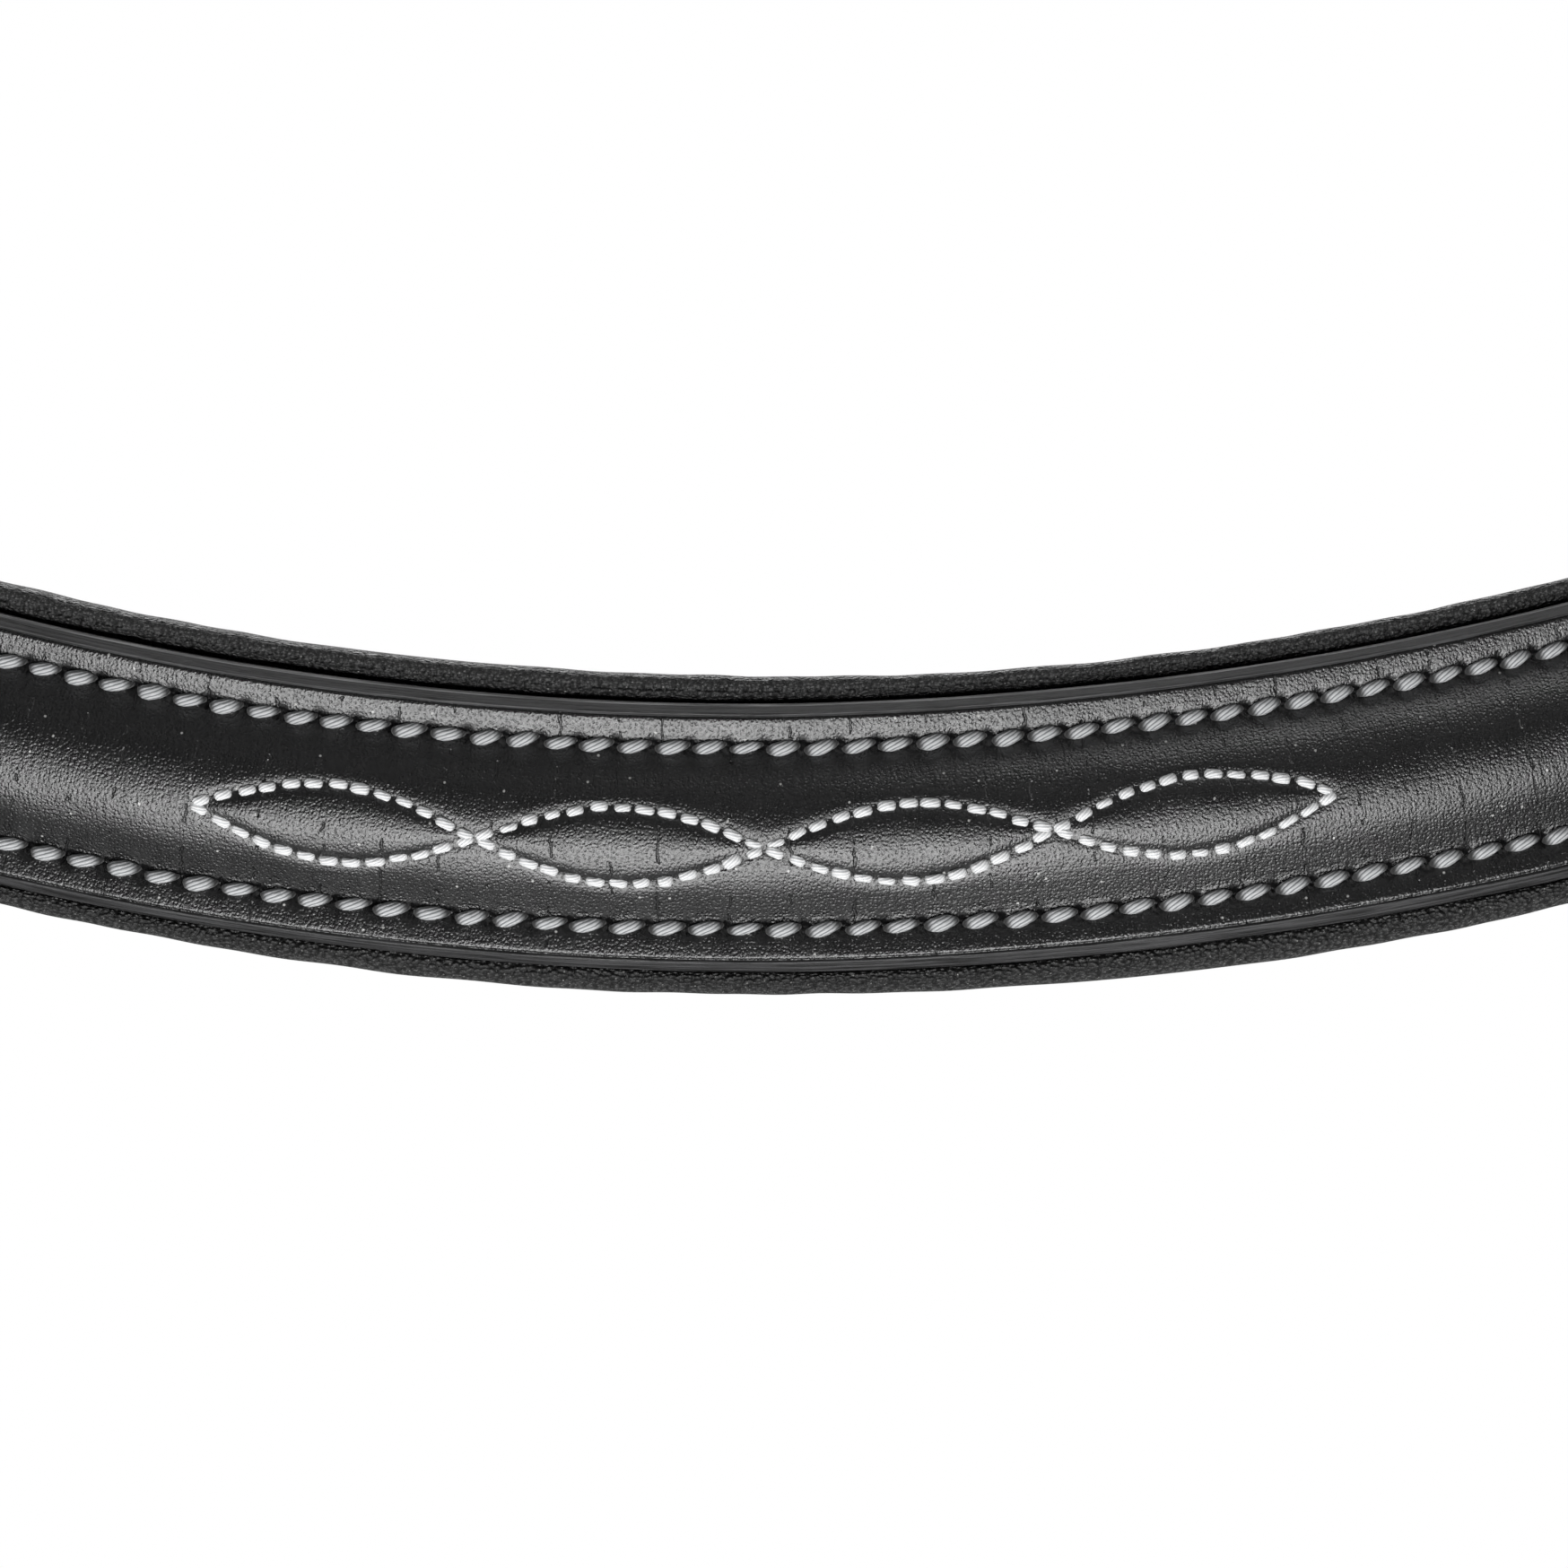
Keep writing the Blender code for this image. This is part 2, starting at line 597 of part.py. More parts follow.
def noseband(looks):
    """The raised band, whose base strap goes on round the jaw to a buckle on the near side."""
    line = BandLine(NOSEBAND_PLAN, NOSEBAND_FRONT_Y, NOSEBAND_Z)
    band = RaisedBand("noseband", line, NOSEBAND_RAISED_HALF)
    buckle = Buckle("noseband_buckle", line, NOSEBAND_BUCKLE_S, -1, CHEEK_WIDTH, reach=62.0)
    straight = buckle.s(-buckle.reach - 2)
    ramp = [(straight, buckle.outer, CHEEK_WIDTH), (straight - 20, 0.0, CHEEK_WIDTH)]
    billet = [(s - NOSEBAND_ROUND, n, width) for s, n, width in buckle.billet_end()]
    path = buckle.wrapped_end() + ramp + band.base_path()[::-1] + billet
    base = finish("noseband_base", ribbon(path, STRAP_THICK, line), line, looks["leather"])
    buckle.cut_bar_slot(base, looks["steel"])
    buckle.cut_billet_hole(base, looks["steel"])
    pieces = [base] + band.layers(looks) + buckle.hardware("noseband", looks, runner_at=-46.0)
    hang_on("noseband_pivot", (0.0, SLIPHEAD_END_Y, NOSEBAND_Z), pieces)


def cheekpiece(side, buckle, looks):
    """A strap from the cheek buckle down to the bit's loop, which turns back up to a stud inside."""
    outer = buckle.outer
    tail = outer - STRAP_THICK - GAP
    bottom = buckle.line.s_at(BIT_LOOP_Z)
    foot = buckle.side * buckle.at - bottom
    loop = [(38, outer), (13, outer + 1.4), (6, outer + 2.6), (1.6, outer + 1.4), (0, outer - 1.0),
            (0, outer - 6.8), (1.6, outer - 9.2), (6, outer - 10.4), (13, outer - 9.0), (27, tail)]
    path = [(foot + a, n, CHEEK_WIDTH) for a, n in loop]
    for a, share in ((58, 1.0), (62.5, 0.92), (65.4, 0.66), (67, 0.3)):
        path.append((foot + a, tail, CHEEK_WIDTH * share))
    mesh = ribbon(buckle.wrapped_end() + buckle.points(path), STRAP_THICK, buckle.line)
    strap = finish("cheekpiece_" + side, mesh, buckle.line, looks["leather"])
    buckle.cut_bar_slot(strap, looks["steel"])
    stud_s = buckle.s(foot + 47)
    hole = peg([(tail - 2, 2.1), (outer - 0.3, 2.1)], stud_s)
    combine(strap, hide_cutter(finish("stud_hole_" + side, hole, buckle.line, looks["steel"])))
    under = tail - STRAP_THICK / 2 - 0.3
    stud = [(outer - 0.6, 1.75), (under, 1.75), (under - 0.1, 3.0), (under - 1.2, 2.7), (under - 1.6, 1.6)]
    finish("cheek_stud_" + side, peg(stud, stud_s), buckle.line, looks["steel"])
    for place, a in (("upper", 57), ("lower", 36)):
        name = f"bit_loop_{place}_keeper_{side}"
        buckle.keeper(name, foot + a, looks["leather"], turned_back=True, billet=False)
    buckle.frame(looks["steel"])
    buckle.tongue(looks["steel"])
    buckle.keeper("cheek_fixed_keeper_" + side, KEEPER_AT, looks["leather"], turned_back=True)
    buckle.keeper("cheek_runner_" + side, -50.0, looks["leather"])


def sliphead(looks):
    """The noseband's own headpiece: a long strap from the far side, and a short one to its buckle."""
    line = HangingLine(CHEEK_ARCS, SLIPHEAD_Y, SLIPHEAD_FORWARD)
    at = line.s_at(SLIPHEAD_BUCKLE_Z)
    buckle = Buckle("sliphead_buckle", line, at, 1, NARROW_WIDTH, wire=1.25, level=SLIPHEAD_BUCKLE_N)
    end = line.s_at(NOSEBAND_Z)
    lower = [(end + ds, SLIPHEAD_END_N + SLIPHEAD_END_LEAN * ds, NARROW_WIDTH) for ds in (-12.0, 8.0)]
    upper = [(185.0, SLIPHEAD_N, NARROW_WIDTH), (240.0, SLIPHEAD_BUCKLE_N, NARROW_WIDTH)]
    path = mirrored(upper + lower) + upper + buckle.billet_end()
    long = finish("sliphead_long", ribbon(path, BILLET_THICK, line), line, looks["leather"])
    buckle.cut_billet_hole(long, looks["steel"])
    straight = [(buckle.s(-buckle.reach - 2), buckle.outer, NARROW_WIDTH)]
    mesh = ribbon(buckle.wrapped_end() + straight + lower, STRAP_THICK, line)
    short = finish("sliphead_short", mesh, line, looks["leather"])
    buckle.cut_bar_slot(short, looks["steel"])
    buckle.hardware("sliphead", looks)


def throatlash(looks):
    """A strap under the throat with a buckle at each end, and the crown's two throat billets."""
    line = HangingLine(THROAT_ARCS, THROAT_Y)
    at = line.s_at(THROAT_BUCKLE_Z)
    near = Buckle("throatlash_buckle_near", line, at, 1, NARROW_WIDTH, wire=1.25, reach=66.0)
    off = Buckle("throatlash_buckle_off", line, THROAT_ROUND - at, -1, NARROW_WIDTH, wire=1.25, reach=66.0)
    top = at - line.s_at(BROWBAND_Z)
    pieces = []
    for side, buckle in (("near", near), ("off", off)):
        rounded = [(top + NARROW_WIDTH / 2 * math.cos(t), 0.0, NARROW_WIDTH * math.sin(t))
                   for t in (0.25, 0.6, 1.0, math.pi / 2)]
        mesh = ribbon(buckle.points(rounded) + buckle.billet_end(), BILLET_THICK, line)
        billet = finish("throat_billet_" + side, mesh, line, looks["leather"])
        buckle.cut_billet_hole(billet, looks["steel"])
        pieces.append(billet)
    path = near.wrapped_end() + off.wrapped_end()[::-1]
    strap = finish("throatlash_strap", ribbon(path, STRAP_THICK, line), line, looks["leather"])
    pieces.append(strap)
    for side, buckle in (("near", near), ("off", off)):
        buckle.cut_bar_slot(strap, looks["steel"])
        pieces.append(buckle.frame(looks["steel"]))
        pieces.append(buckle.tongue(looks["steel"]))
        name = "throatlash_fixed_keeper_" + side
        pieces.append(buckle.keeper(name, KEEPER_AT, looks["leather"], turned_back=True))
        pieces.append(buckle.keeper("throatlash_runner_" + side, -44.0, looks["leather"]))
    hang_on("throatlash_pivot", (0.0, THROAT_Y, BROWBAND_Z), pieces)


def main():
    clear_scene()
    looks = {
        "leather": material("bridle_leather", (0.012, 0.012, 0.013), 0.42),
        "soft_leather": material("lining_leather", (0.014, 0.014, 0.014), 0.6),
        "felt": material("felt", (0.12, 0.12, 0.12), 0.95),
        "foam": material("foam", (0.25, 0.25, 0.24), 0.95),
        "thread": material("waxed_thread", (0.72, 0.73, 0.75), 0.55),
        "steel": material("stainless_steel", (0.78, 0.78, 0.80), 0.18, 1.0),
    }
    cheek_line = HangingLine(CHEEK_ARCS, CHEEK_Y)
    at = cheek_line.s_at(CHEEK_BUCKLE_Z)
    near = Buckle("cheek_buckle_near", cheek_line, at, 1, CHEEK_WIDTH)
    off = Buckle("cheek_buckle_off", cheek_line, -at, -1, CHEEK_WIDTH)
    crown_strap((near, off), looks)
    crown_pad(looks["soft_leather"])
    cheekpiece("near", near, looks)
    cheekpiece("off", off, looks)
    sliphead(looks)
    throatlash(looks)
    browband(looks)
    noseband(looks)


main()
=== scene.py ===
"""Dresses a padded snaffle bridle: black bridle leather, white waxed thread and polished steel buckles.

Every strap is drawn in strap space, in millimetres: s runs along the strap, n stands out from the head, and
w runs across the strap. A line then lays that space round the head, in metres, where the frame's strap of the
same name lies. The head faces -Y, +Z is up and +X is the near side.
"""

import logging
import math
from dataclasses import dataclass, field
from enum import Enum
from typing import Iterable, Protocol, Sequence

import bpy
import numpy as np
from mathutils import Matrix, Vector


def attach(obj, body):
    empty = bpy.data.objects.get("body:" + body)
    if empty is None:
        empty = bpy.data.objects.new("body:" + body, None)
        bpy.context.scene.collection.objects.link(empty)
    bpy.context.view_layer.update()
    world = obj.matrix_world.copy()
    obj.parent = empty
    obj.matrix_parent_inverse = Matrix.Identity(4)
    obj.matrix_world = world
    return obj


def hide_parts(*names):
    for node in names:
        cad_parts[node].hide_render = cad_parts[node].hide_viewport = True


LOG = logging.getLogger("bridle")
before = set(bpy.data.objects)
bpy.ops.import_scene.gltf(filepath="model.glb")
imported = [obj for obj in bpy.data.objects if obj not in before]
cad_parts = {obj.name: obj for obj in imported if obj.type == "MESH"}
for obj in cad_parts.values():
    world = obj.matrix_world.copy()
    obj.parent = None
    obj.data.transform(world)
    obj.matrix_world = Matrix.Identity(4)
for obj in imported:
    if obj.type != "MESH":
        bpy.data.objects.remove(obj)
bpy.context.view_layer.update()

MM = 0.001
STRAIGHT = 1e-9  # the least curvature that counts as a bend
SMOOTH_ANGLE = math.radians(50)
Path = list[tuple[float, float, float]]  # (s, n, width) points
Range = tuple[float, float]
Number = np.ndarray | float
FULL = (0.0, 1.0)
FADE = (1.0, 0.0)
MIDTONES = (0.3, 0.7)  # where most of a noise's values lie

# Saddlery sizes, as in the frame.
GAP = 0.35  # between layers, and between a keeper and what it holds
STRAP_THICK = 2.4
BILLET_THICK = 3.0
CHEEK_WIDTH = 16.0
NARROW_WIDTH = 12.0
CROWN_LEVEL = 9.4
CROWN_HALF_WIDTH = 21.0
SPLIT_HALF_WIDTH = 18.0
SPLIT_AT = 104.0
PAD_HALF_LENGTH = 95.0
PAD_HALF_WIDTH = 24.0
CHEEK_Y = -10.0
THROAT_Y = 12.0
CHEEK_BUCKLE_Z = -194.0
SLIPHEAD_BUCKLE_Z = -226.0
THROAT_BUCKLE_Z = -135.0
BIT_LOOP_Z = -461.0
NOSEBAND_Z = -352.0
BROWBAND_Z = -85.0
SLIPHEAD_Y = -8.0
SLIPHEAD_FORWARD = -22.0
FORWARD_FROM = 100.0
FORWARD_TO = 230.0
SLIPHEAD_N = -1.5 - GAP - BILLET_THICK / 2
SLIPHEAD_BUCKLE_N = -8.0
SLIPHEAD_END_N = -13.9
SLIPHEAD_END_LEAN = 0.125

# The raised band.
STITCH_ROW = 7.8
BASE_HALF = 10.9
BASE_THICK = 2.5
FACING_THICK = 1.5
CREST_N = 6.2
CREST_RADIUS = 8.5
CORE_SPREAD = 17.5  # the core's top falls away from its middle by w squared over this
LEAF_LENGTH = 24.4
LEAF_HALF_HEIGHT = 3.3
LEAVES = 4
PATTERN_HALF = LEAF_LENGTH * LEAVES / 2
BROWBAND_RAISED_HALF = 116.0
NOSEBAND_RAISED_HALF = 106.0
LOOP_RADIUS = 5.7
LOOP_REAR_Y = 24.0
LOOP_FRONT_Y = -29.0
SEAM_FROM_Y = -38.0
SEAM_TO_Y = -56.0
EDGE_PITCH = 3.27  # about 8 stitches to the inch
FANCY_PITCH = 2.0
STRAP_PITCH = 2.5
SMALL_INSET = 0.34
SMALL_SLANT = 0.08
CREASE_IN = 1.75
CREASE_HALF = 0.26
CREASE_DEPTH = 0.24
TIP_FROM = 5.2  # a strap narrower than this, as at its tip, draws its creases in
HOLE_SIDES = 20
STUD_SIDES = 24
HOLE_LENGTH = 3.6
HOLE_WIDTH = 3.4
SEWN_IN = 0.05  # how far small stitches lie in the grain side

# The crown.
LANE_EDGE = (0.0, CREASE_IN - CREASE_HALF, CREASE_IN, CREASE_IN + CREASE_HALF)
CREASE_RAMP = 3  # rows over which a crease deepens
CROWN_ROWS = 105
STUB_ROWS = 20
STUB_LAP = 6.5  # how far the throat billet laps over the crown's stub
SLIT_LOW = CHEEK_Y + CHEEK_WIDTH / 2
SLIT_HIGH = THROAT_Y - NARROW_WIDTH / 2
SLIT_TIP = 14.0  # the leather is drawn back from the slit's end over this length
SLIT_PULL = 3.6
PAD_ROWS = 96
PAD_TAPER = 12.0
PAD_DEEP = -5.2

# Buckles.
BAR_N = -4.1
BAR_SLACK = 0.3
WRAP = (-106, 90)  # the strap's turn round the bar, in degrees
WRAP_STEPS = 18
WRAP_SLACK = 0.05
WRAP_FROM = -13.0
TONGUE_SLOT_AT = 0.8
TONGUE_SLOT = (9.6, 3.5)
SLOT_REACH = 2.5
WORN_HOLE_LENGTH = 6.0
HOLE_REACH = 2.2
BILLET_TIP = ((9.0, 1.0), (6.0, 0.97), (3.6, 0.87), (1.8, 0.7), (0.6, 0.44), (0.0, 0.16))  # back, width
TURNBACK_ROW_IN = 2.7
WIRE = 1.5
NARROW_WIRE = 1.25
TURNBACK_GAP = 0.15
FRAME_CLEAR = 0.7
FRAME_SWELL = 0.1
FRAME_SIDES = 14
FAR_BAR_A = 17.0
FAR_BAR_N = 3.5
BILLET_LIFT = 1.9
TURNBACK = 36.0
KEEPER_AT = -18.0
KEEPER_HALF_LENGTH = 4.0
KEEPER_THICK = 1.4
KEEPER_CLEAR = 0.45
KEEPER_CORNER = 1.3
TONGUE_WIDTH = 2.6
TONGUE_THICK = 1.4


class Slot(Enum):
    """The record's material slots."""

    LEATHER = "bridle_leather"
    LINING = "lining_leather"
    FELT = "felt"
    FOAM = "foam"
    THREAD = "waxed_thread"
    STEEL = "stainless_steel"


def arc(radius: float, degrees: float) -> tuple[float, float]:
    """Gives an arc's length and turn for ArcChain; a negative turn bends the other way."""
    return math.radians(abs(degrees)) * radius, degrees


ARCH = [arc(150.0, 24.0), arc(62.4, 66.0)]
CHEEK_ARCS = ARCH + [arc(2300.0, 11.0)]
THROAT_DROP = 141.4
THROAT_TURN = 98.0
THROAT_ARCS = ARCH + [(THROAT_DROP, 0.0), arc(THROAT_TURN, 180.0)]  # down the side and under the throat
THROAT_ROUND = 2 * (sum(length for length, _ in ARCH) + THROAT_DROP + math.pi * THROAT_TURN / 2)
BROWBAND_PLAN = [arc(400.0, 10.74), arc(33.6, 79.26)]
BROWBAND_FRONT_Y = -98.0
BROWBAND_CUT = [arc(305.0, 14.5), arc(305.0, -14.5)]
NOSE = (64.0, 70.0)
SIDE = (200.0, 40.0)
NOSEBAND_PLAN = [arc(*NOSE), arc(*SIDE), arc(64.0, 140.0), arc(*SIDE), arc(*NOSE)]
NOSEBAND_ROUND = sum(length for length, _ in NOSEBAND_PLAN)
NOSEBAND_FRONT_Y = -112.0
NOSEBAND_BUCKLE_S = 215.0


class ArcChain:
    """A plane curve made of arcs, which runs on straight past its end."""

    def __init__(self, start: tuple[float, float], arcs: Iterable[tuple[float, float]]) -> None:
        """Walks the arcs once and keeps where each begins.

        Args:
            start: where the curve starts, heading along x.
            arcs: the length and the turn in degrees of each arc.
        """
        knots, starts, curvatures = [(*start, 0.0)], [0.0], []
        for length, turn in arcs:
            curvatures.append(math.radians(turn) / length)
            knots.append(tuple(float(v) for v in self.walk(*knots[-1], curvatures[-1], length)))
            starts.append(starts[-1] + length)
        self.knots = np.array(knots)
        self.starts = np.array(starts)
        self.curvatures = np.array(curvatures + [0.0])

    @staticmethod
    def walk(x: Number, y: Number, heading: Number, curvature: Number,
             length: Number) -> tuple[np.ndarray, np.ndarray, np.ndarray]:
        """Goes along an arc.

        Args:
            x: where the arc starts along x.
            y: where it starts along y.
            heading: its direction there, in radians.
            curvature: its turn for each millimetre.
            length: how far to go.

        Returns:
            The new x, y and heading.
        """
        bent = np.abs(curvature) > STRAIGHT
        divisor = np.where(bent, curvature, 1.0)
        turned = heading + curvature * length
        across = np.where(bent, (np.sin(turned) - np.sin(heading)) / divisor, length * np.cos(heading))
        along = np.where(bent, (np.cos(heading) - np.cos(turned)) / divisor, length * np.sin(heading))
        return x + across, y + along, turned

    def at(self, s: Number) -> tuple[np.ndarray, np.ndarray, np.ndarray]:
        """Gives places on the curve, which is its own mirror image below 0.

        Args:
            s: distances along it.

        Returns:
            x, y and the heading in radians.
        """
        reach = np.abs(np.asarray(s, float))
        side = np.where(np.asarray(s) < 0, -1.0, 1.0)
        k = np.searchsorted(self.starts, reach, side="right") - 1
        x, y, heading = self.walk(*self.knots[k].T, self.curvatures[k], reach - self.starts[k])
        return side * x, y, side * heading


class Line(Protocol):
    """What a strap lies on."""

    def lay(self, points: np.ndarray) -> np.ndarray:
        """Turns strap-space points in millimetres into places in metres."""


@dataclass
class HangingLine:
    """A strap over the poll and down both sides: w runs from front to back."""

    arcs: list[tuple[float, float]]
    y: float
    forward: float = 0.0  # how far it has moved towards +Y once it is down at the noseband
    chain: ArcChain = field(init=False)

    def __post_init__(self) -> None:
        """Draws the line's curve."""
        self.chain = ArcChain((0.0, -CROWN_LEVEL), self.arcs)

    def lay(self, points: np.ndarray) -> np.ndarray:
        """Lays strap space over the poll.

        Args:
            points: strap-space points, in millimetres.

        Returns:
            Their places, in metres.
        """
        s, n, w = points.T
        x, down, heading = self.chain.at(s)
        t = np.clip((np.abs(s) - FORWARD_FROM) / (FORWARD_TO - FORWARD_FROM), 0.0, 1.0)
        y = self.y + self.forward * t * t * (3 - 2 * t) + w
        return np.stack([x + n * np.sin(heading), y, n * np.cos(heading) - down], axis=1) * MM

    def s_at(self, z: float) -> float:
        """Gives where the strap reaches the height z on its way down the near side."""
        arch_end = len(ARCH)
        return float(self.chain.starts[arch_end] - self.chain.knots[arch_end][1] - z)


@dataclass
class BandLine:
    """A band round the front of the head: cut to a flat curve, then bent round a wall; w runs upwards."""

    plan_arcs: list[tuple[float, float]]
    front_y: float
    level: float
    cut_arcs: list[tuple[float, float]] = field(default_factory=list)
    lean: tuple[float, float] = (0.0, 0.0)  # degrees: the off half leans forward, and the near half back
    lean_reach: float = 1.0
    plan: ArcChain = field(init=False)
    cut: ArcChain = field(init=False)
    z: float = field(init=False)

    def __post_init__(self) -> None:
        """Draws the line's curves."""
        self.plan = ArcChain((0.0, self.front_y), self.plan_arcs)
        self.cut = ArcChain((0.0, 0.0), self.cut_arcs)
        self.z = self.level - self.cut.knots[-1][1]

    def lay(self, points: np.ndarray) -> np.ndarray:
        """Lays strap space round the head.

        Args:
            points: strap-space points, in millimetres.

        Returns:
            Their places, in metres.
        """
        s, n, w = points.T
        turn = np.where(np.abs(s) < self.lean_reach, np.sin(math.pi * s / self.lean_reach), 0.0)
        lean = np.radians(np.where(s < 0, *self.lean)) * turn
        n, w = n * np.cos(lean) - w * np.sin(lean), w * np.cos(lean) + n * np.sin(lean)
        u, rise, slope = self.cut.at(s)
        x, y, heading = self.plan.at(u - w * np.sin(slope))
        z = self.z + rise + w * np.cos(slope)
        return np.stack([x + n * np.sin(heading), y - n * np.cos(heading), z], axis=1) * MM

    def s_at_side(self, y: float) -> float:
        """Gives where the band's straight side passes y."""
        wall, cut = self.plan.knots[-1], self.cut.knots[-1]
        return float(self.plan.starts[-1] + y - wall[1] + self.cut.starts[-1] - cut[0])


@dataclass
class Bench:
    """A flat bench, where a pattern piece is made in millimetres before it is copied."""

    def lay(self, points: np.ndarray) -> np.ndarray:
        """Leaves the points where they are."""
        return points


def select_only(piece: bpy.types.Object) -> None:
    """Makes a piece the only one that is selected, and the active one.

    Args:
        piece: the piece.
    """
    bpy.ops.object.select_all(action="DESELECT")
    piece.select_set(True)
    bpy.context.view_layer.objects.active = piece


def turn_out(merge: float = 0.0, fill: bool = False) -> None:
    """Turns the active piece's faces outwards.

    Args:
        merge: how near two points lie that are first made one; 0 leaves all points.
        fill: whether open ends are first closed.
    """
    bpy.ops.object.mode_set(mode="EDIT")
    bpy.ops.mesh.select_all(action="SELECT")
    if merge:
        bpy.ops.mesh.remove_doubles(threshold=merge)
    if fill:
        bpy.ops.mesh.fill_holes(sides=0)
        bpy.ops.mesh.select_all(action="SELECT")
    bpy.ops.mesh.normals_make_consistent(inside=False)
    bpy.ops.object.mode_set(mode="OBJECT")


def modify(piece: bpy.types.Object, kind: str, **settings: float | bool | str | bpy.types.Object) -> None:
    """Adds a modifier to the active piece and applies it.

    Args:
        piece: the active piece.
        kind: the modifier's type.
        settings: its settings.
    """
    step = piece.modifiers.new(kind.lower(), kind)
    for name, value in settings.items():
        setattr(step, name, value)
    bpy.ops.object.modifier_apply(modifier=step.name)


def read(items: bpy.types.bpy_prop_collection, name: str, kind: type = float, size: int = 1) -> np.ndarray:
    """Reads a property of each item.

    Args:
        items: the points, faces or corners of a mesh.
        name: the property's name.
        kind: float or int.
        size: how many numbers each item has.

    Returns:
        All the numbers in one row.
    """
    values = np.empty(len(items) * size, kind)
    items.foreach_get(name, values)
    return values


def grid_uv(piece: bpy.types.Object, rings: np.ndarray) -> None:
    """Gives a wrapped grid a UV map of its own millimetres, along the strap and round it.

    Args:
        piece: the grid.
        rings: its points in strap space, with each ring closed.
    """
    steps = np.linalg.norm(np.diff(rings.mean(axis=1), axis=0), axis=1)
    along = np.concatenate([[0.0], np.cumsum(steps)])
    girth = np.cumsum(np.linalg.norm(np.diff(rings, axis=1), axis=2), axis=1)
    girth = np.concatenate([np.zeros((len(rings), 1)), girth], axis=1)
    girth -= girth[:, -1:] / 2
    row, column = np.divmod(read(piece.data.loops, "vertex_index", int), rings.shape[1])
    piece.data.uv_layers[0].name = "strap"
    piece.data.uv_layers[0].uv.foreach_set("vector", np.stack([along[row], girth[row, column]], 1).ravel())


def closed_rings(rings: np.ndarray, looped: bool) -> np.ndarray:
    """Closes each ring and, where they go round a loop, the row of rings.

    Args:
        rings: the open rings.
        looped: whether they go round a loop.

    Returns:
        The rings, with what closes them repeated at the end.
    """
    rings = np.asarray(rings, float)
    if looped:
        rings = np.concatenate([rings, rings[:1]])
    return np.concatenate([rings, rings[:, :1]], axis=1)


def skin(name: str, rings: np.ndarray, line: Line, looped: bool = False,
         chart: np.ndarray | None = None) -> bpy.types.Object:
    """Wraps a grid round a strap's rings, closes it and lays it on its line.

    Args:
        name: the piece's name.
        rings: strap-space points, a ring of equal count for each place along the strap.
        line: what the strap lies on.
        looped: whether the last ring meets the first, as on a keeper.
        chart: the rings without their relief, where the UV map is to be measured on those.

    Returns:
        The closed piece, with a UV map in millimetres.
    """
    rings, chart = (closed_rings(shape, looped) for shape in (rings, rings if chart is None else chart))
    bpy.ops.object.select_all(action="DESELECT")
    rows, columns = rings.shape[:2]
    bpy.ops.mesh.primitive_grid_add(x_subdivisions=columns - 1, y_subdivisions=rows - 1, size=1.0)
    piece = bpy.context.object
    piece.name = piece.data.name = name
    piece.data.vertices.foreach_set("co", line.lay(rings.reshape(-1, 3)).ravel())
    grid_uv(piece, chart)
    turn_out(merge=1e-7, fill=True)
    bpy.ops.object.shade_smooth_by_angle(angle=SMOOTH_ANGLE)
    return piece


def refined(path: Path, spacing: float = 2.2, passes: int = 3) -> np.ndarray:
    """Divides a strap's path finely and eases its corners.

    Args:
        path: (s, n, width) points.
        spacing: the longest step, in millimetres.
        passes: how many times each point is drawn halfway to its neighbours' middle.

    Returns:
        The eased path, with its ends where they were.
    """
    points = [np.array(path[0], float)]
    for near, far in zip(path, path[1:]):
        near, far = np.array(near, float), np.array(far, float)
        count = max(1, math.ceil(np.linalg.norm((far - near)[:2]) / spacing))
        points += [near + (far - near) * i / count for i in range(1, count + 1)]
    eased = np.array(points)
    for _ in range(passes):
        eased[1:-1] = eased[1:-1] / 2 + (eased[:-2] + eased[2:]) / 4
    return eased


@dataclass(frozen=True)
class StrapCut:
    """How a strap is cut: its thickness, its rounded edges and the crease line inside each edge."""

    thick: float
    creased: bool = True
    crease_in: float = CREASE_IN
    crease_half: float = CREASE_HALF
    crease_depth: float = CREASE_DEPTH
    rounding: tuple[tuple[float, float], ...] = ((0.1, 0.26), (0.4, 0.43), (0.95, 0.5))
    full_width: float = TIP_FROM
    flat_from: float = 2.3

    def section(self, width: float) -> np.ndarray:
        """Draws the strap's outline.

        Args:
            width: how wide the strap is there.

        Returns:
            (h, w) points, from the lower edge round by the grain side.
        """
        half, top = width / 2, self.thick / 2
        scale = min(1.0, width / self.full_width)
        grain = [(inset * scale, share * self.thick) for inset, share in self.rounding]
        if self.creased:
            drops = (0.0, self.crease_depth * scale, 0.0)
            for offset, drop in zip((-self.crease_half, 0.0, self.crease_half), drops):
                grain.append(((self.crease_in + offset) * scale, top - drop))
        grain.append((max(self.flat_from * scale, half * 0.5), top))
        flesh = [(inset * scale, -share * self.thick) for inset, share in self.rounding]
        near = [(h, half - inset) for inset, h in reversed(grain)]
        outline = [(0.0, -half)] + [(h, -w) for h, w in reversed(near)] + near + [(0.0, half)]
        outline += [(h, half - inset) for inset, h in flesh]
        return np.array(outline + [(h, inset - half) for inset, h in reversed(flesh)])


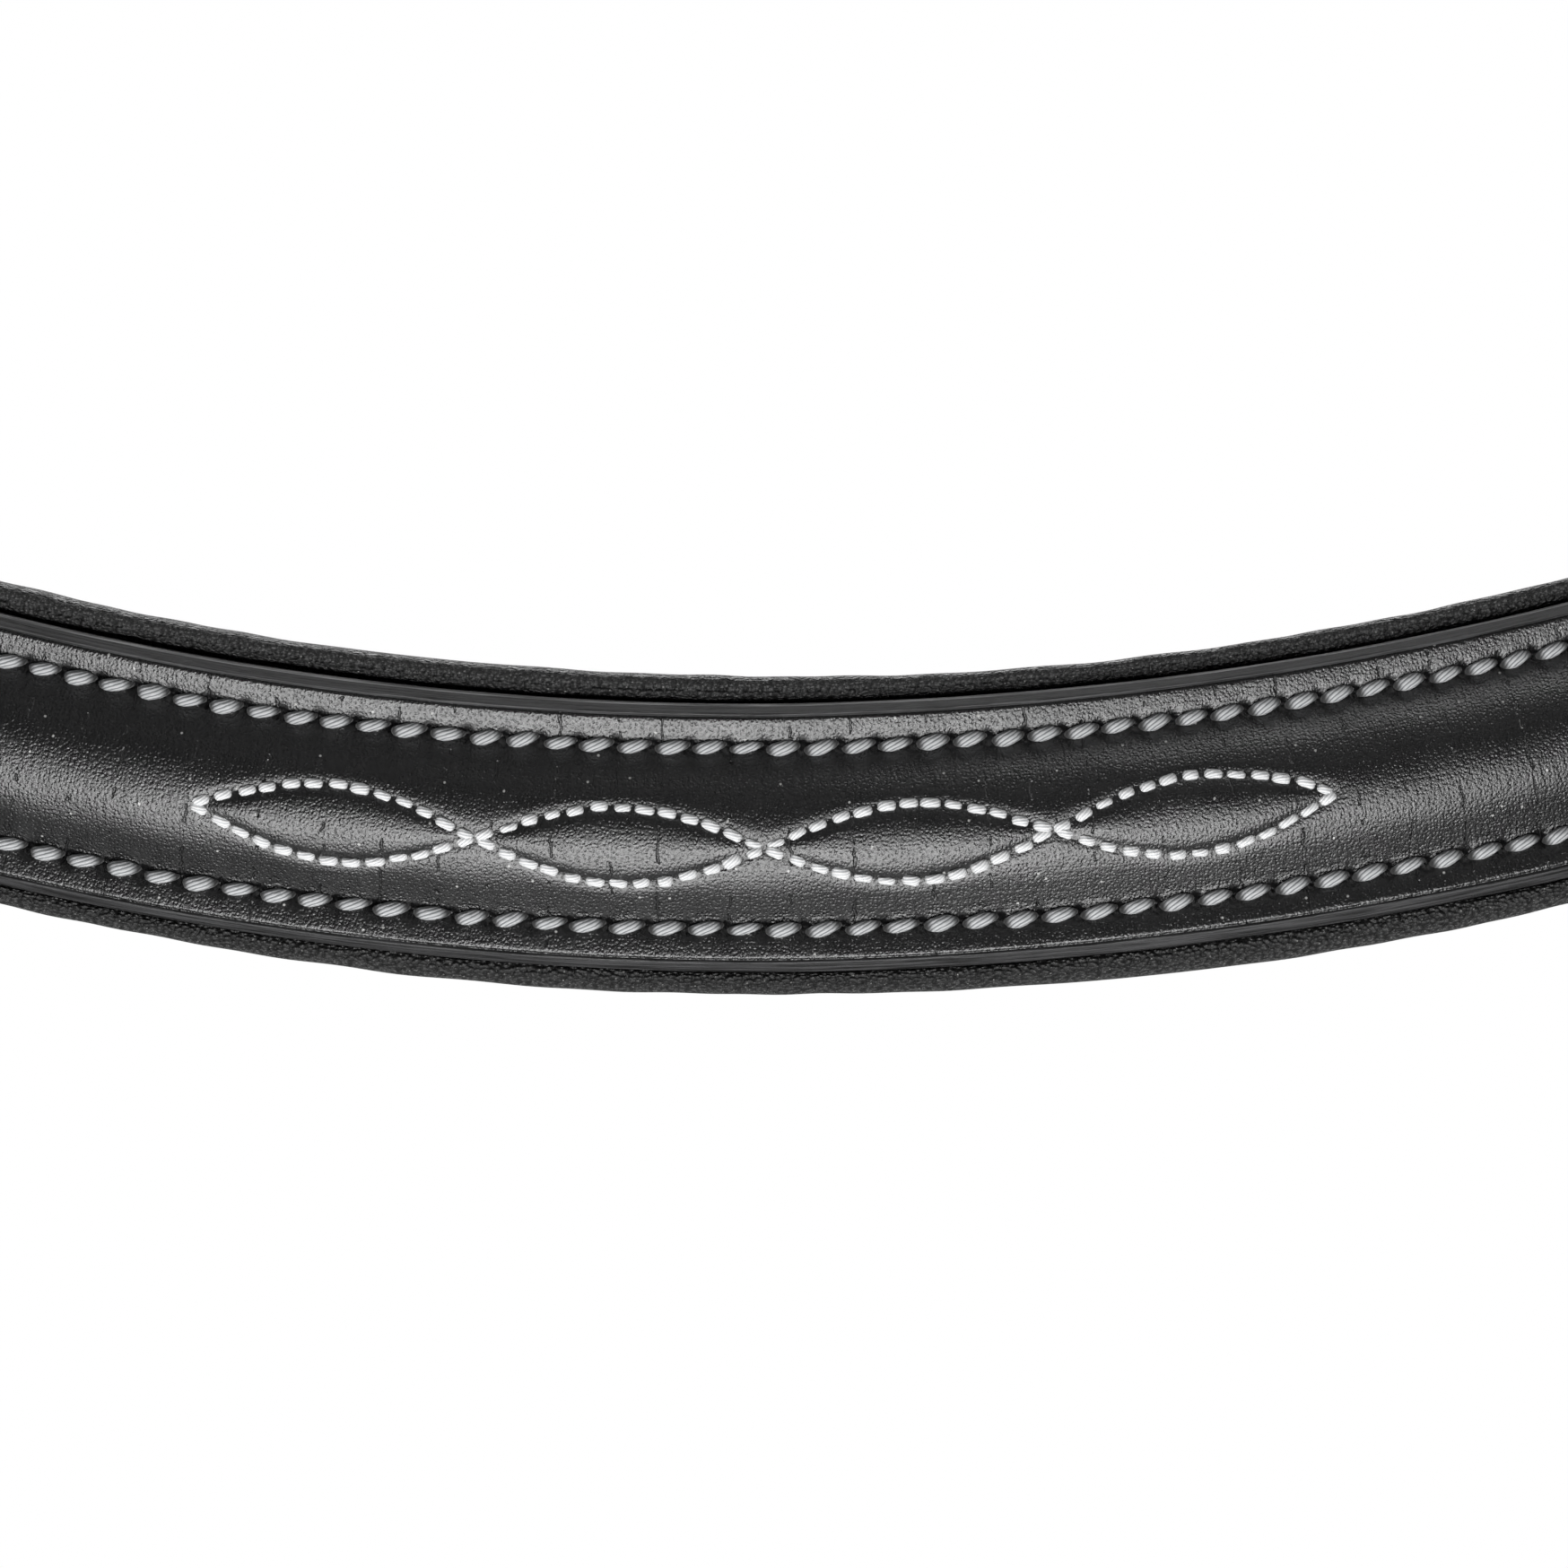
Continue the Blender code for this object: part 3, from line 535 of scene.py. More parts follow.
def ribbon(name: str, path: Path, cut: StrapCut, line: Line, ease: int = 3) -> bpy.types.Object:
    """Makes a strap, with its section square to its path.

    Args:
        name: the strap's name.
        path: (s, n, width) points.
        cut: how it is cut.
        line: what it lies on.
        ease: how far its corners are eased, as in refined.

    Returns:
        The strap.
    """
    places = refined(path, passes=ease)
    tangent = np.gradient(places[:, :2], axis=0)
    tangent /= np.linalg.norm(tangent, axis=1)[:, None]
    rings = []
    for (s, n, width), (ts, tn) in zip(places, tangent):
        h, w = cut.section(width).T
        rings.append(np.stack([s - tn * h, n + ts * h, w], axis=1))
    return skin(name, np.array(rings), line)


def half_ring(centre: tuple[float, float], radius: float, start: float, end: float,
              count: int) -> list[tuple[float, float]]:
    """Gives points on an arc.

    Args:
        centre: its middle, as (s, n).
        radius: its radius.
        start: its first angle, in degrees from the direction of s.
        end: its last angle.
        count: how many steps it has.

    Returns:
        (s, n) points.
    """
    angles = np.radians(np.linspace(start, end, count + 1))
    return [(centre[0] + radius * math.cos(t), centre[1] + radius * math.sin(t)) for t in angles]


def mirrored(path: Path) -> Path:
    """Gives the path's reflection in s = 0, from its far end inwards."""
    return [(-point[0], *point[1:]) for point in reversed(path)]


def join(pieces: Sequence[bpy.types.Object]) -> bpy.types.Object:
    """Joins pieces.

    Args:
        pieces: one or more pieces.

    Returns:
        The first, which now holds the others.
    """
    select_only(pieces[0])
    for piece in pieces[1:]:
        piece.select_set(True)
    if len(pieces) > 1:
        bpy.ops.object.join()
    return pieces[0]


def punch(piece: bpy.types.Object, cutters: Sequence[bpy.types.Object]) -> None:
    """Cuts holes, and takes the cutters away.

    Args:
        piece: what is cut.
        cutters: a cutter for each hole.
    """
    cutter = join(cutters)
    select_only(piece)
    modify(piece, "BOOLEAN", object=cutter)
    select_only(cutter)
    bpy.ops.object.delete()


def hole_cutter(line: Line, s: float, span: tuple[float, float], length: float,
                width: float) -> bpy.types.Object:
    """Makes an oval cutter that stands along n.

    Args:
        line: what the strap lies on.
        s: the hole's middle.
        span: where the cutter starts and ends along n.
        length: the hole's length along the strap.
        width: the hole's width.

    Returns:
        The cutter.
    """
    angles = np.linspace(0.0, 2 * math.pi, HOLE_SIDES, endpoint=False)
    straight = np.sign(np.cos(angles)) * (length - width) / 2
    along = s + straight + width / 2 * np.cos(angles)
    ring = np.stack([along, 0 * angles, width / 2 * np.sin(angles)], axis=1)
    return skin("hole", np.array([ring + (0.0, n, 0.0) for n in span]), line)


@dataclass(frozen=True)
class Thread:
    """A twisted, waxed thread and how it lies between its holes."""

    girth: float
    rings: tuple[tuple[float, float, float], ...]  # place along the stitch, swelling, height
    uneven: float = 0.05  # how much one stitch differs from the next, as a share of the thread's girth
    sink: float = 1.05  # how deep each end dives, in radii
    rise: float = 0.34
    flatness: float = 0.85  # a stitch's height, as a share of its width
    lobe: float = 0.07  # how far its three plies stand out
    twist: float = 1.5
    sides: int = 9

    def pattern(self) -> tuple[np.ndarray, np.ndarray, np.ndarray]:
        """Models one stitch on the bench.

        Returns:
            Its points, its faces and its UVs.
        """
        angles = np.linspace(math.pi, 3 * math.pi, self.sides, endpoint=False)  # the UV map's seam lies below
        rings = []
        for t, swell, height in self.rings:
            lobes = swell * (1 + self.lobe * np.cos(3 * (angles - self.twist * t)))
            lift = self.rise * height if height > 0 else self.sink * height
            up = lift + self.flatness * lobes * np.cos(angles)
            rings.append(np.stack([t + 0 * angles, lobes * np.sin(angles), up], 1))
        bead = skin("stitch_pattern", np.array(rings), Bench())
        mesh = bead.data
        points = np.array([v.co for v in mesh.vertices])
        mesh.calc_loop_triangles()
        faces = np.array([t.vertices for t in mesh.loop_triangles])
        uvs = np.array([[mesh.uv_layers[0].uv[i].vector for i in t.loops] for t in mesh.loop_triangles])
        uvs[:, :, 0] -= uvs[:, :, 0].max() / 2
        bpy.data.objects.remove(bead)
        return points, faces, uvs


POINTED = ((-1.0, 0.34, -1.0), (-0.86, 0.68, -0.3), (-0.56, 0.97, 0.6), (-0.22, 1.1, 1.0),
           (0.15, 1.07, 1.0), (0.5, 0.89, 0.6), (0.82, 0.58, -0.2), (1.0, 0.28, -1.0))
BLUNT = ((-1.0, 0.34, -0.9), (-0.92, 0.7, -0.2), (-0.66, 0.96, 0.65), (-0.24, 1.04, 1.0),
         (0.2, 1.04, 1.0), (0.62, 0.96, 0.65), (0.9, 0.7, -0.2), (1.0, 0.34, -0.9))
EDGE_THREAD = Thread(1.1, POINTED, uneven=0.07)
FINE_THREAD = Thread(0.86, BLUNT, uneven=0.1)


def sew(name: str, runs: Sequence[np.ndarray], thread: Thread, line: Line) -> bpy.types.Object:
    """Sews stitches, each a copy of one pattern stitch.

    Args:
        name: the piece's name.
        runs: arrays of stitches, each stitch its start, its end and its outward direction in strap space.
        thread: the thread.
        line: what the sewn strap lies on.

    Returns:
        All the stitches as one piece.
    """
    stitches = np.concatenate(runs)
    start, end, out = stitches[:, 0], stitches[:, 1], stitches[:, 2]
    hand = np.random.default_rng(len(stitches)).normal(0.0, thread.uneven, (3, len(stitches), 3))
    start, end = start + hand[0] * thread.girth * (1, 0, 1), end + hand[1] * thread.girth * (1, 0, 1)
    points, faces, uvs = thread.pattern()
    half = (end - start) / 2
    length = np.linalg.norm(half, axis=1, keepdims=True)
    along = half / length
    out = out - (out * along).sum(axis=1, keepdims=True) * along
    out /= np.linalg.norm(out, axis=1, keepdims=True)
    across = np.cross(out, along)
    radius = thread.girth / 2 * (1 + hand[2, :, :1])
    placed = (start + end)[:, None] / 2 + half[:, None] * points[None, :, :1]
    placed += radius[:, None] * (across[:, None] * points[None, :, 1:2] + out[:, None] * points[None, :, 2:])
    count = len(stitches)
    corners = (faces[None] + len(points) * np.arange(count)[:, None, None]).reshape(-1, 3)
    mesh = bpy.data.meshes.new(name)
    mesh.from_pydata(line.lay(placed.reshape(-1, 3)).tolist(), [], corners.tolist())
    mesh.uv_layers.new(name="strap")
    scale = np.repeat(np.concatenate([length, radius], axis=1), len(faces) * 3, axis=0)
    mesh.uv_layers[0].uv.foreach_set("vector", (np.tile(uvs.reshape(-1, 2), (count, 1)) * scale).ravel())
    piece = bpy.data.objects.new(name, mesh)
    bpy.context.scene.collection.objects.link(piece)
    select_only(piece)
    turn_out()
    bpy.ops.object.shade_smooth()
    return piece


def stitch_run(points: np.ndarray, out: np.ndarray, inset: float, slant: float = 0.0) -> np.ndarray:
    """Gives the stitches between neighbouring holes.

    Args:
        points: the holes, in strap space.
        out: the outward direction at each hole.
        inset: how far each stitch stops short of its holes.
        slant: how far its ends stand off the row, across it.

    Returns:
        An array of stitches for sew.
    """
    along = np.diff(points, axis=0)
    along /= np.linalg.norm(along, axis=1, keepdims=True)
    middle_out = (out[:-1] + out[1:]) / 2
    across = np.cross(middle_out, along)
    start = points[:-1] + along * inset - across * slant
    end = points[1:] - along * inset + across * slant
    return np.stack([start, end, middle_out], axis=1)


def small_run(holes: np.ndarray) -> np.ndarray:
    """Gives the small stitches between holes on a strap's grain side."""
    return stitch_run(holes, np.tile((0.0, 1.0, 0.0), (len(holes), 1)), SMALL_INSET, SMALL_SLANT)


def straight_run(s0: float, s1: float, n: float, w: float) -> np.ndarray:
    """Gives small stitches along a strap.

    Args:
        s0: one end of the run.
        s1: its other end.
        n: the height of the grain side.
        w: where the run lies across the strap.

    Returns:
        An array of stitches for sew.
    """
    count = max(2, round(abs(s1 - s0) / STRAP_PITCH) + 1)
    s = np.linspace(min(s0, s1), max(s0, s1), count)
    return small_run(np.stack([s, np.full(count, n), np.full(count, w)], axis=1))


def cross_run(s: float, n: float, half: float) -> np.ndarray:
    """Gives small stitches across a strap.

    Args:
        s: where the run lies along the strap.
        n: the height of the grain side.
        half: how far it reaches to each side.

    Returns:
        An array of stitches for sew.
    """
    count = max(2, round(2 * half / STRAP_PITCH) + 1)
    w = np.linspace(-half, half, count)
    return small_run(np.stack([np.full(count, s), np.full(count, n), w], axis=1))


def linear(hexes: str) -> tuple[float, float, float, float]:
    """Turns an sRGB hex value into a linear colour."""
    parts = [int(hexes[i:i + 2], 16) / 255 for i in (1, 3, 5)]
    return (*(p / 12.92 if p <= 0.04045 else ((p + 0.055) / 1.055) ** 2.4 for p in parts), 1.0)


def add_node(tree: bpy.types.NodeTree, kind: str, settings: dict | None = None,
             inputs: dict | None = None) -> bpy.types.Node:
    """Adds a node.

    Args:
        tree: the nodes of a material or of the world.
        kind: the node's type, without ShaderNode.
        settings: its settings.
        inputs: for its inputs, their values or the outputs that feed them.

    Returns:
        The node.
    """
    node = tree.nodes.new("ShaderNode" + kind)
    for name, value in (settings or {}).items():
        setattr(node, name, value)
    for name, value in (inputs or {}).items():
        if isinstance(value, bpy.types.NodeSocket):
            tree.links.new(value, node.inputs[name])
        else:
            node.inputs[name].default_value = value
    return node


@dataclass(frozen=True)
class Finish:
    """A surface finish, which builds one material."""

    name: str

    def build(self) -> bpy.types.Material:
        """Makes the material.

        Returns:
            The material.
        """
        made = bpy.data.materials.new(self.name)
        made.use_nodes = True
        tree = made.node_tree
        tree.nodes.clear()
        shader = self.shade(tree)
        add_node(tree, "OutputMaterial", {}, {"Surface": shader.outputs[0]})
        return made

    def shade(self, tree: bpy.types.NodeTree) -> bpy.types.Node:
        """Adds the nodes to a material's tree and gives their shader."""
        raise NotImplementedError


def strap_coordinates(tree: bpy.types.NodeTree, stretch: tuple[float, float]) -> bpy.types.NodeSocket:
    """Gives the strap's own millimetres, as a pattern counts them.

    Args:
        tree: the material's nodes.
        stretch: the pattern's size along and across the strap, in millimetres.

    Returns:
        The coordinates.
    """
    uv = add_node(tree, "UVMap", {"uv_map": "strap"})
    scale = (1 / stretch[0], 1 / stretch[1], 1.0)
    return add_node(tree, "Mapping", {}, {"Vector": uv.outputs["UV"], "Scale": scale}).outputs["Vector"]


def spread(tree: bpy.types.NodeTree, value: bpy.types.NodeSocket, source: tuple[float, float],
           target: tuple[float, float]) -> bpy.types.NodeSocket:
    """Maps a value's range onto another, smoothly at both ends.

    Args:
        tree: the material's nodes.
        value: the value.
        source: the range that it has.
        target: the range that it is to have.

    Returns:
        The mapped value.
    """
    settings = {"interpolation_type": "SMOOTHSTEP", "clamp": True}
    return add_node(tree, "MapRange", settings, {
        "Value": value, "From Min": source[0], "From Max": source[1],
        "To Min": target[0], "To Max": target[1]}).outputs["Result"]


def noise(tree: bpy.types.NodeTree, size: tuple[float, float], detail: float,
          rough: float = 0.6) -> bpy.types.NodeSocket:
    """Gives noise.

    Args:
        tree: the material's nodes.
        size: its size along and across the strap, in millimetres.
        detail: how many finer layers it has.
        rough: how strong these are.

    Returns:
        The noise, about 0.5.
    """
    return add_node(tree, "TexNoise", {"noise_dimensions": "2D"}, {
        "Vector": strap_coordinates(tree, size), "Scale": 1.0, "Detail": detail,
        "Roughness": rough}).outputs["Fac"]


def cells(tree: bpy.types.NodeTree, size: tuple[float, float], scatter: float = 1.0,
          rounding: float = 0.0) -> bpy.types.NodeSocket:
    """Gives the distance to the nearest of many scattered points.

    Args:
        tree: the material's nodes.
        size: how far apart they lie along and across the strap, in millimetres.
        scatter: how unevenly they lie.
        rounding: how far the borders between them are rounded.

    Returns:
        The distance, as a share of the size.
    """
    settings = {"voronoi_dimensions": "2D", "feature": "SMOOTH_F1" if rounding else "F1"}
    inputs = {"Vector": strap_coordinates(tree, size), "Scale": 1.0, "Randomness": scatter}
    if rounding:
        inputs["Smoothness"] = rounding
    return add_node(tree, "TexVoronoi", settings, inputs).outputs["Distance"]


def blend(tree: bpy.types.NodeTree, factor: bpy.types.NodeSocket, low: bpy.types.NodeSocket | str,
          high: str) -> bpy.types.NodeSocket:
    """Blends two colours.

    Args:
        tree: the material's nodes.
        factor: 0 for the low colour, and 1 for the high one.
        low: an sRGB hex value, or a colour from another node.
        high: an sRGB hex value.

    Returns:
        The blended colour.
    """
    below = linear(low) if isinstance(low, str) else low
    return add_node(tree, "Mix", {"data_type": "RGBA"}, {0: factor, 6: below, 7: linear(high)}).outputs[2]


def bumped(tree: bpy.types.NodeTree, height: bpy.types.NodeSocket, relief: float,
           strength: float = 1.0) -> bpy.types.NodeSocket:
    """Raises a surface.

    Args:
        tree: the material's nodes.
        height: the pattern of its relief.
        relief: how high a value of 1 stands, in metres.
        strength: how much of that is used.

    Returns:
        The raised surface's normal.
    """
    inputs = {"Strength": strength, "Distance": relief, "Height": height}
    return add_node(tree, "Bump", {}, inputs).outputs["Normal"]


def sum_of(tree: bpy.types.NodeTree,
           terms: Iterable[tuple[bpy.types.NodeSocket, float]]) -> bpy.types.NodeSocket:
    """Adds values.

    Args:
        tree: the material's nodes.
        terms: each value with its weight.

    Returns:
        The sum.
    """
    total = None
    for value, weight in terms:
        inputs = {0: value, 1: weight, 2: 0.0 if total is None else total}
        total = add_node(tree, "Math", {"operation": "MULTIPLY_ADD"}, inputs).outputs[0]
    return total


@dataclass(frozen=True)
class BridleLeather(Finish):
    """Curried, waxed and polished strap leather: near black, its shine broken by pores and fine cracks."""

    dark: str = "#080808"
    light: str = "#111112"
    dust: str = "#9A9A98"
    pore: tuple[float, float] = (0.38, 0.43)  # millimetres along and across; a little coarse, to show
    pore_scatter: float = 0.85
    pore_rim: Range = (0.04, 0.42)
    grain: float = 0.22
    wrinkle: tuple[float, float] = (0.42, 2.2)
    streak: tuple[float, float] = (14.0, 0.3)
    crack_gap: float = 5.2
    crack_width: Range = (0.006, 0.026)
    drift: float = 1.4
    patch: tuple[float, float] = (3.4, 2.2)
    wear_and_highlight: Range = (0.51, 0.58)
    dust_gap: float = 6.0
    mote: Range = (0.012, 0.024)
    gloss: Range = (0.22, 0.31)
    coat_gloss: float = 0.22
    relief: float = 0.00013
    weights: tuple[float, ...] = (0.2, 0.36, 0.36, 0.12, -1.0)  # of pores, grain, wrinkles, streaks, cracks

    def shade(self, tree: bpy.types.NodeTree) -> bpy.types.Node:
        """Adds the pores, the grain, the wrinkles, the cracks and the polish.

        Args:
            tree: the material's nodes.

        Returns:
            The shader.
        """
        pits = spread(tree, cells(tree, self.pore, self.pore_scatter), self.pore_rim, FULL)
        speckle = noise(tree, (self.grain, self.grain), 3.0)
        wrinkles = noise(tree, self.wrinkle, 3.0)
        streaks = noise(tree, self.streak, 2.0)
        patches = noise(tree, self.patch, 2.0)
        place = strap_coordinates(tree, (self.crack_gap, self.crack_gap))
        along = add_node(tree, "SeparateXYZ", {}, {"Vector": place}).outputs["X"]
        wandering = sum_of(tree, [(along, 1.0), (noise(tree, (self.drift, self.drift), 3.0), 0.16)])
        cracks = add_node(tree, "TexVoronoi", {"voronoi_dimensions": "1D", "feature": "DISTANCE_TO_EDGE"}, {
            "W": wandering, "Scale": 1.0, "Randomness": 1.0})
        lines = spread(tree, cracks.outputs["Distance"], self.crack_width, FADE)
        wear_and_highlight = spread(tree, patches, self.wear_and_highlight, FULL)
        split = add_node(tree, "Math", {"operation": "MULTIPLY"}, {0: lines, 1: wear_and_highlight}).outputs[0]
        height = sum_of(tree, zip((pits, speckle, wrinkles, streaks, split), self.weights))
        rough = sum_of(tree, [(spread(tree, patches, MIDTONES, self.gloss), 1.0), (split, 0.3)])
        motes = spread(tree, cells(tree, (self.dust_gap, self.dust_gap)), self.mote, FADE)
        colour = blend(tree, motes, blend(tree, speckle, self.dark, self.light), self.dust)
        normal = bumped(tree, height, self.relief)
        return add_node(tree, "BsdfPrincipled", {}, {
            "Base Color": colour, "Roughness": rough, "IOR": 1.52, "Normal": normal, "Coat Weight": 1.0,
            "Coat Roughness": self.coat_gloss, "Coat IOR": 1.5, "Coat Normal": normal})


@dataclass(frozen=True)
class BurnishedEdge(Finish):
    """A shaved strap edge, dyed and rubbed with wax: dull grey-black, with streaks along the strap."""

    dark: str = "#121212"
    light: str = "#3A3A3B"
    streak: tuple[float, float] = (9.0, 0.22)
    contrast: Range = (0.34, 0.66)
    fibre: tuple[float, float] = (1.1, 0.2)
    gloss: Range = (0.42, 0.56)
    relief: float = 0.0001

    def shade(self, tree: bpy.types.NodeTree) -> bpy.types.Node:
        """Adds the rubbed streaks and the dull polish.

        Args:
            tree: the material's nodes.

        Returns:
            The shader.
        """
        streaks = noise(tree, self.streak, 3.0)
        height = sum_of(tree, [(streaks, 0.7), (noise(tree, self.fibre, 3.0), 0.4)])
        colour = blend(tree, spread(tree, streaks, self.contrast, FULL), self.dark, self.light)
        return add_node(tree, "BsdfPrincipled", {}, {
            "Base Color": colour, "Roughness": spread(tree, streaks, MIDTONES, self.gloss), "IOR": 1.5,
            "Normal": bumped(tree, height, self.relief)})


@dataclass(frozen=True)
class LiningLeather(Finish):
    """Soft chrome-tanned lining leather: pebbled, matt and black, creased where it rolls over the padding;
    its pebble tops are painted lighter and the hollows between them darker, as painted highlight and shade.
    """

    # dark is the painted shade in the hollows between the pebbles, and light the painted highlight on their
    # tops
    dark: str = "#101010"
    light: str = "#484848"
    dust: str = "#8C8C8A"
    pebble: tuple[float, float] = (0.45, 0.36)
    pebble_height_and_shade_range: Range = (0.0, 0.75)
    grain: float = 0.3
    wrinkle: tuple[float, float] = (1.3, 3.9)
    dust_gap: float = 1.5
    mote: Range = (0.03, 0.055)
    dustiness: float = 0.8
    gloss: Range = (0.32, 0.48)
    relief: float = 0.00045

    def shade(self, tree: bpy.types.NodeTree) -> bpy.types.Node:
        """Adds the pebbles with their painted highlight and shade, the wrinkles and the dull sheen.

        Args:
            tree: the material's nodes.

        Returns:
            The shader.
        """
        pebble_height_and_shade = spread(tree, cells(tree, self.pebble, rounding=0.5), self.pebble_height_and_shade_range, FADE)
        speckle = noise(tree, (self.grain, self.grain), 3.0)
        wrinkles = noise(tree, self.wrinkle, 4.0)
        height = sum_of(tree, [(pebble_height_and_shade, 1.0), (speckle, 0.45), (wrinkles, 1.1)])
        motes = spread(tree, cells(tree, (self.dust_gap, self.dust_gap)), self.mote, (self.dustiness, 0.0))
        # painted highlight and shade: lighter on the pebble tops, darker in the hollows between them
        colour = blend(tree, motes, blend(tree, pebble_height_and_shade, self.dark, self.light), self.dust)
        return add_node(tree, "BsdfPrincipled", {}, {
            "Base Color": colour, "Roughness": spread(tree, wrinkles, MIDTONES, self.gloss), "IOR": 1.48,
            "Normal": bumped(tree, height, self.relief)})


@dataclass(frozen=True)
class WaxedThread(Finish):
    """Three-ply linen thread, waxed: off-white, its winding grooves and its holes darkened by painted shade.
    """

    # painted shade: the grooves between the plies are coloured darker than the plies
    painted_groove_shade: str = "#66686A"
    ply: str = "#ACADAE"
    ply_width: float = 0.36
    # painted shade: the colour each stitch darkens to towards its holes
    painted_hole_shade: str = "#2A2A2A"
    hole_shade_reach: Range = (0.55, 1.85)  # millimetres from a stitch's middle to where the painted shade towards its holes starts and is full
    wave_period: float = 0.314  # of the wave texture at scale 1
    winding: float = math.radians(-70)
    contrast: Range = (0.05, 0.6)
    relief: float = 0.00006

    def shade(self, tree: bpy.types.NodeTree) -> bpy.types.Node:
        """Adds the winding plies, their fibres, and the painted shade in their grooves and towards the holes.

        Args:
            tree: the material's nodes.

        Returns:
            The shader.
        """
        uv = add_node(tree, "UVMap", {"uv_map": "strap"}).outputs["UV"]
        wound = add_node(tree, "Mapping", {}, {"Vector": uv, "Rotation": (0.0, 0.0, self.winding)})
        plies = add_node(tree, "TexWave", {"wave_type": "BANDS", "bands_direction": "X"}, {
            "Vector": wound.outputs["Vector"], "Scale": self.wave_period / self.ply_width, "Distortion": 0.6,
            "Detail": 1.0, "Detail Scale": 3.0}).outputs["Fac"]
        along = add_node(tree, "SeparateXYZ", {}, {"Vector": uv}).outputs["X"]
        distance = add_node(tree, "Math", {"operation": "ABSOLUTE"}, {0: along}).outputs[0]
        # painted shade in the grooves: the plies' pattern blends towards the darker groove colour
        colour = blend(tree, spread(tree, plies, self.contrast, FULL), self.painted_groove_shade, self.ply)
        # painted shade: each stitch darkens towards its ends, where it dives into its holes
        colour = blend(tree, spread(tree, distance, self.hole_shade_reach, FULL), colour, self.painted_hole_shade)
        return add_node(tree, "BsdfPrincipled", {}, {
            "Base Color": colour, "Roughness": 0.62, "IOR": 1.46, "Sheen Weight": 0.15,
            "Normal": bumped(tree, plies, self.relief, strength=0.6)})


@dataclass(frozen=True)
class PolishedSteel(Finish):
    """Cast stainless steel, polished, with the faint scratches of use."""

    colour: str = "#CDCDCF"
    scratch: tuple[float, float] = (3.0, 0.5)
    gloss: Range = (0.13, 0.26)
    relief: float = 0.00002

    def shade(self, tree: bpy.types.NodeTree) -> bpy.types.Node:
        """Adds the polish and the scratches.

        Args:
            tree: the material's nodes.

        Returns:
            The shader.
        """
        scratches = noise(tree, self.scratch, 4.0)
        return add_node(tree, "BsdfPrincipled", {}, {
            "Base Color": linear(self.colour), "Metallic": 1.0,
            "Roughness": spread(tree, scratches, MIDTONES, self.gloss),
            "Normal": bumped(tree, scratches, self.relief, strength=0.35)})


@dataclass(frozen=True)
class SoftFill(Finish):
    """Pressed wool felt or open foam: dull, with a grain of its own."""

    dark: str
    light: str
    grain: float
    relief: float = 0.0001

    def shade(self, tree: bpy.types.NodeTree) -> bpy.types.Node:
        """Adds the fibres or cells.

        Args:
            tree: the material's nodes.

        Returns:
            The shader.
        """
        fibres = noise(tree, (self.grain, self.grain), 4.0, rough=0.7)
        return add_node(tree, "BsdfPrincipled", {}, {
            "Base Color": blend(tree, fibres, self.dark, self.light), "Roughness": 0.95, "Sheen Weight": 0.2,
            "Normal": bumped(tree, fibres, self.relief)})


@dataclass(frozen=True)
class PaleFloor(Finish):
    """A white light table."""

    colour: str = "#FFFFFF"
    glow: float = 1.0
    cast: float = 0.45  # what of its glow falls on the object

    def shade(self, tree: bpy.types.NodeTree) -> bpy.types.Node:
        """Adds the white ground's glow.

        Args:
            tree: the material's nodes.

        Returns:
            The shader.
        """
        seen = add_node(tree, "LightPath").outputs["Is Camera Ray"]
        glow = spread(tree, seen, FULL, (self.cast, self.glow))
        return add_node(tree, "BsdfPrincipled", {}, {
            "Base Color": linear(self.colour), "Roughness": 0.9, "Emission Color": linear(self.colour),
            "Emission Strength": glow})


class Store:
    """The finishes on the shelf, each built once."""

    def __init__(self) -> None:
        """Builds every finish."""
        self.finishes = {
            Slot.LEATHER: BridleLeather("bridle_leather", gloss=(0.34, 0.44), coat_gloss=0.36).build(),
            Slot.LINING: LiningLeather("lining_leather").build(),
            Slot.THREAD: WaxedThread("waxed_thread").build(),
            Slot.STEEL: PolishedSteel("polished_steel").build(),
            Slot.FELT: SoftFill("pressed_felt", "#4A4A48", "#6E6E6A", 0.6).build(),
            Slot.FOAM: SoftFill("sheet_foam", "#7B7B76", "#96968F", 0.9).build(),
        }
        self.facing_leather = BridleLeather("facing_leather").build()
        # the fine thread's painted groove shade and ply colours, and how far its painted shade towards the
        # holes reaches
        self.fine_thread = WaxedThread("fine_thread", "#B0B2B4", "#D4D4D4", 0.3, hole_shade_reach=(0.7, 1.5)).build()
        self.edge = BurnishedEdge("burnished_edge").build()
        # painted highlight: a lighter edge finish for the strip along the top of the upper edge, where light
        # catches it
        self.painted_highlight_edge = BurnishedEdge("painted_highlight_edge", "#505050", "#969697").build()

    def fit(self, piece: bpy.types.Object, slot: Slot, body: str, *nodes: str) -> bpy.types.Object:
        """Dresses a piece, fixes it to its body and lets it stand for the frame's nodes.

        Args:
            piece: the piece.
            slot: its material slot, and so its finish.
            body: the body that it rides on.
            nodes: the nodes that it stands for, if any.

        Returns:
            The piece.
        """
        piece.data.materials.clear()
        piece.data.materials.append(self.finishes[slot])
        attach(piece, body)
        if nodes:
            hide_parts(*nodes)
        LOG.info("%s: %d faces on %s", piece.name, len(piece.data.polygons), body)
        return piece


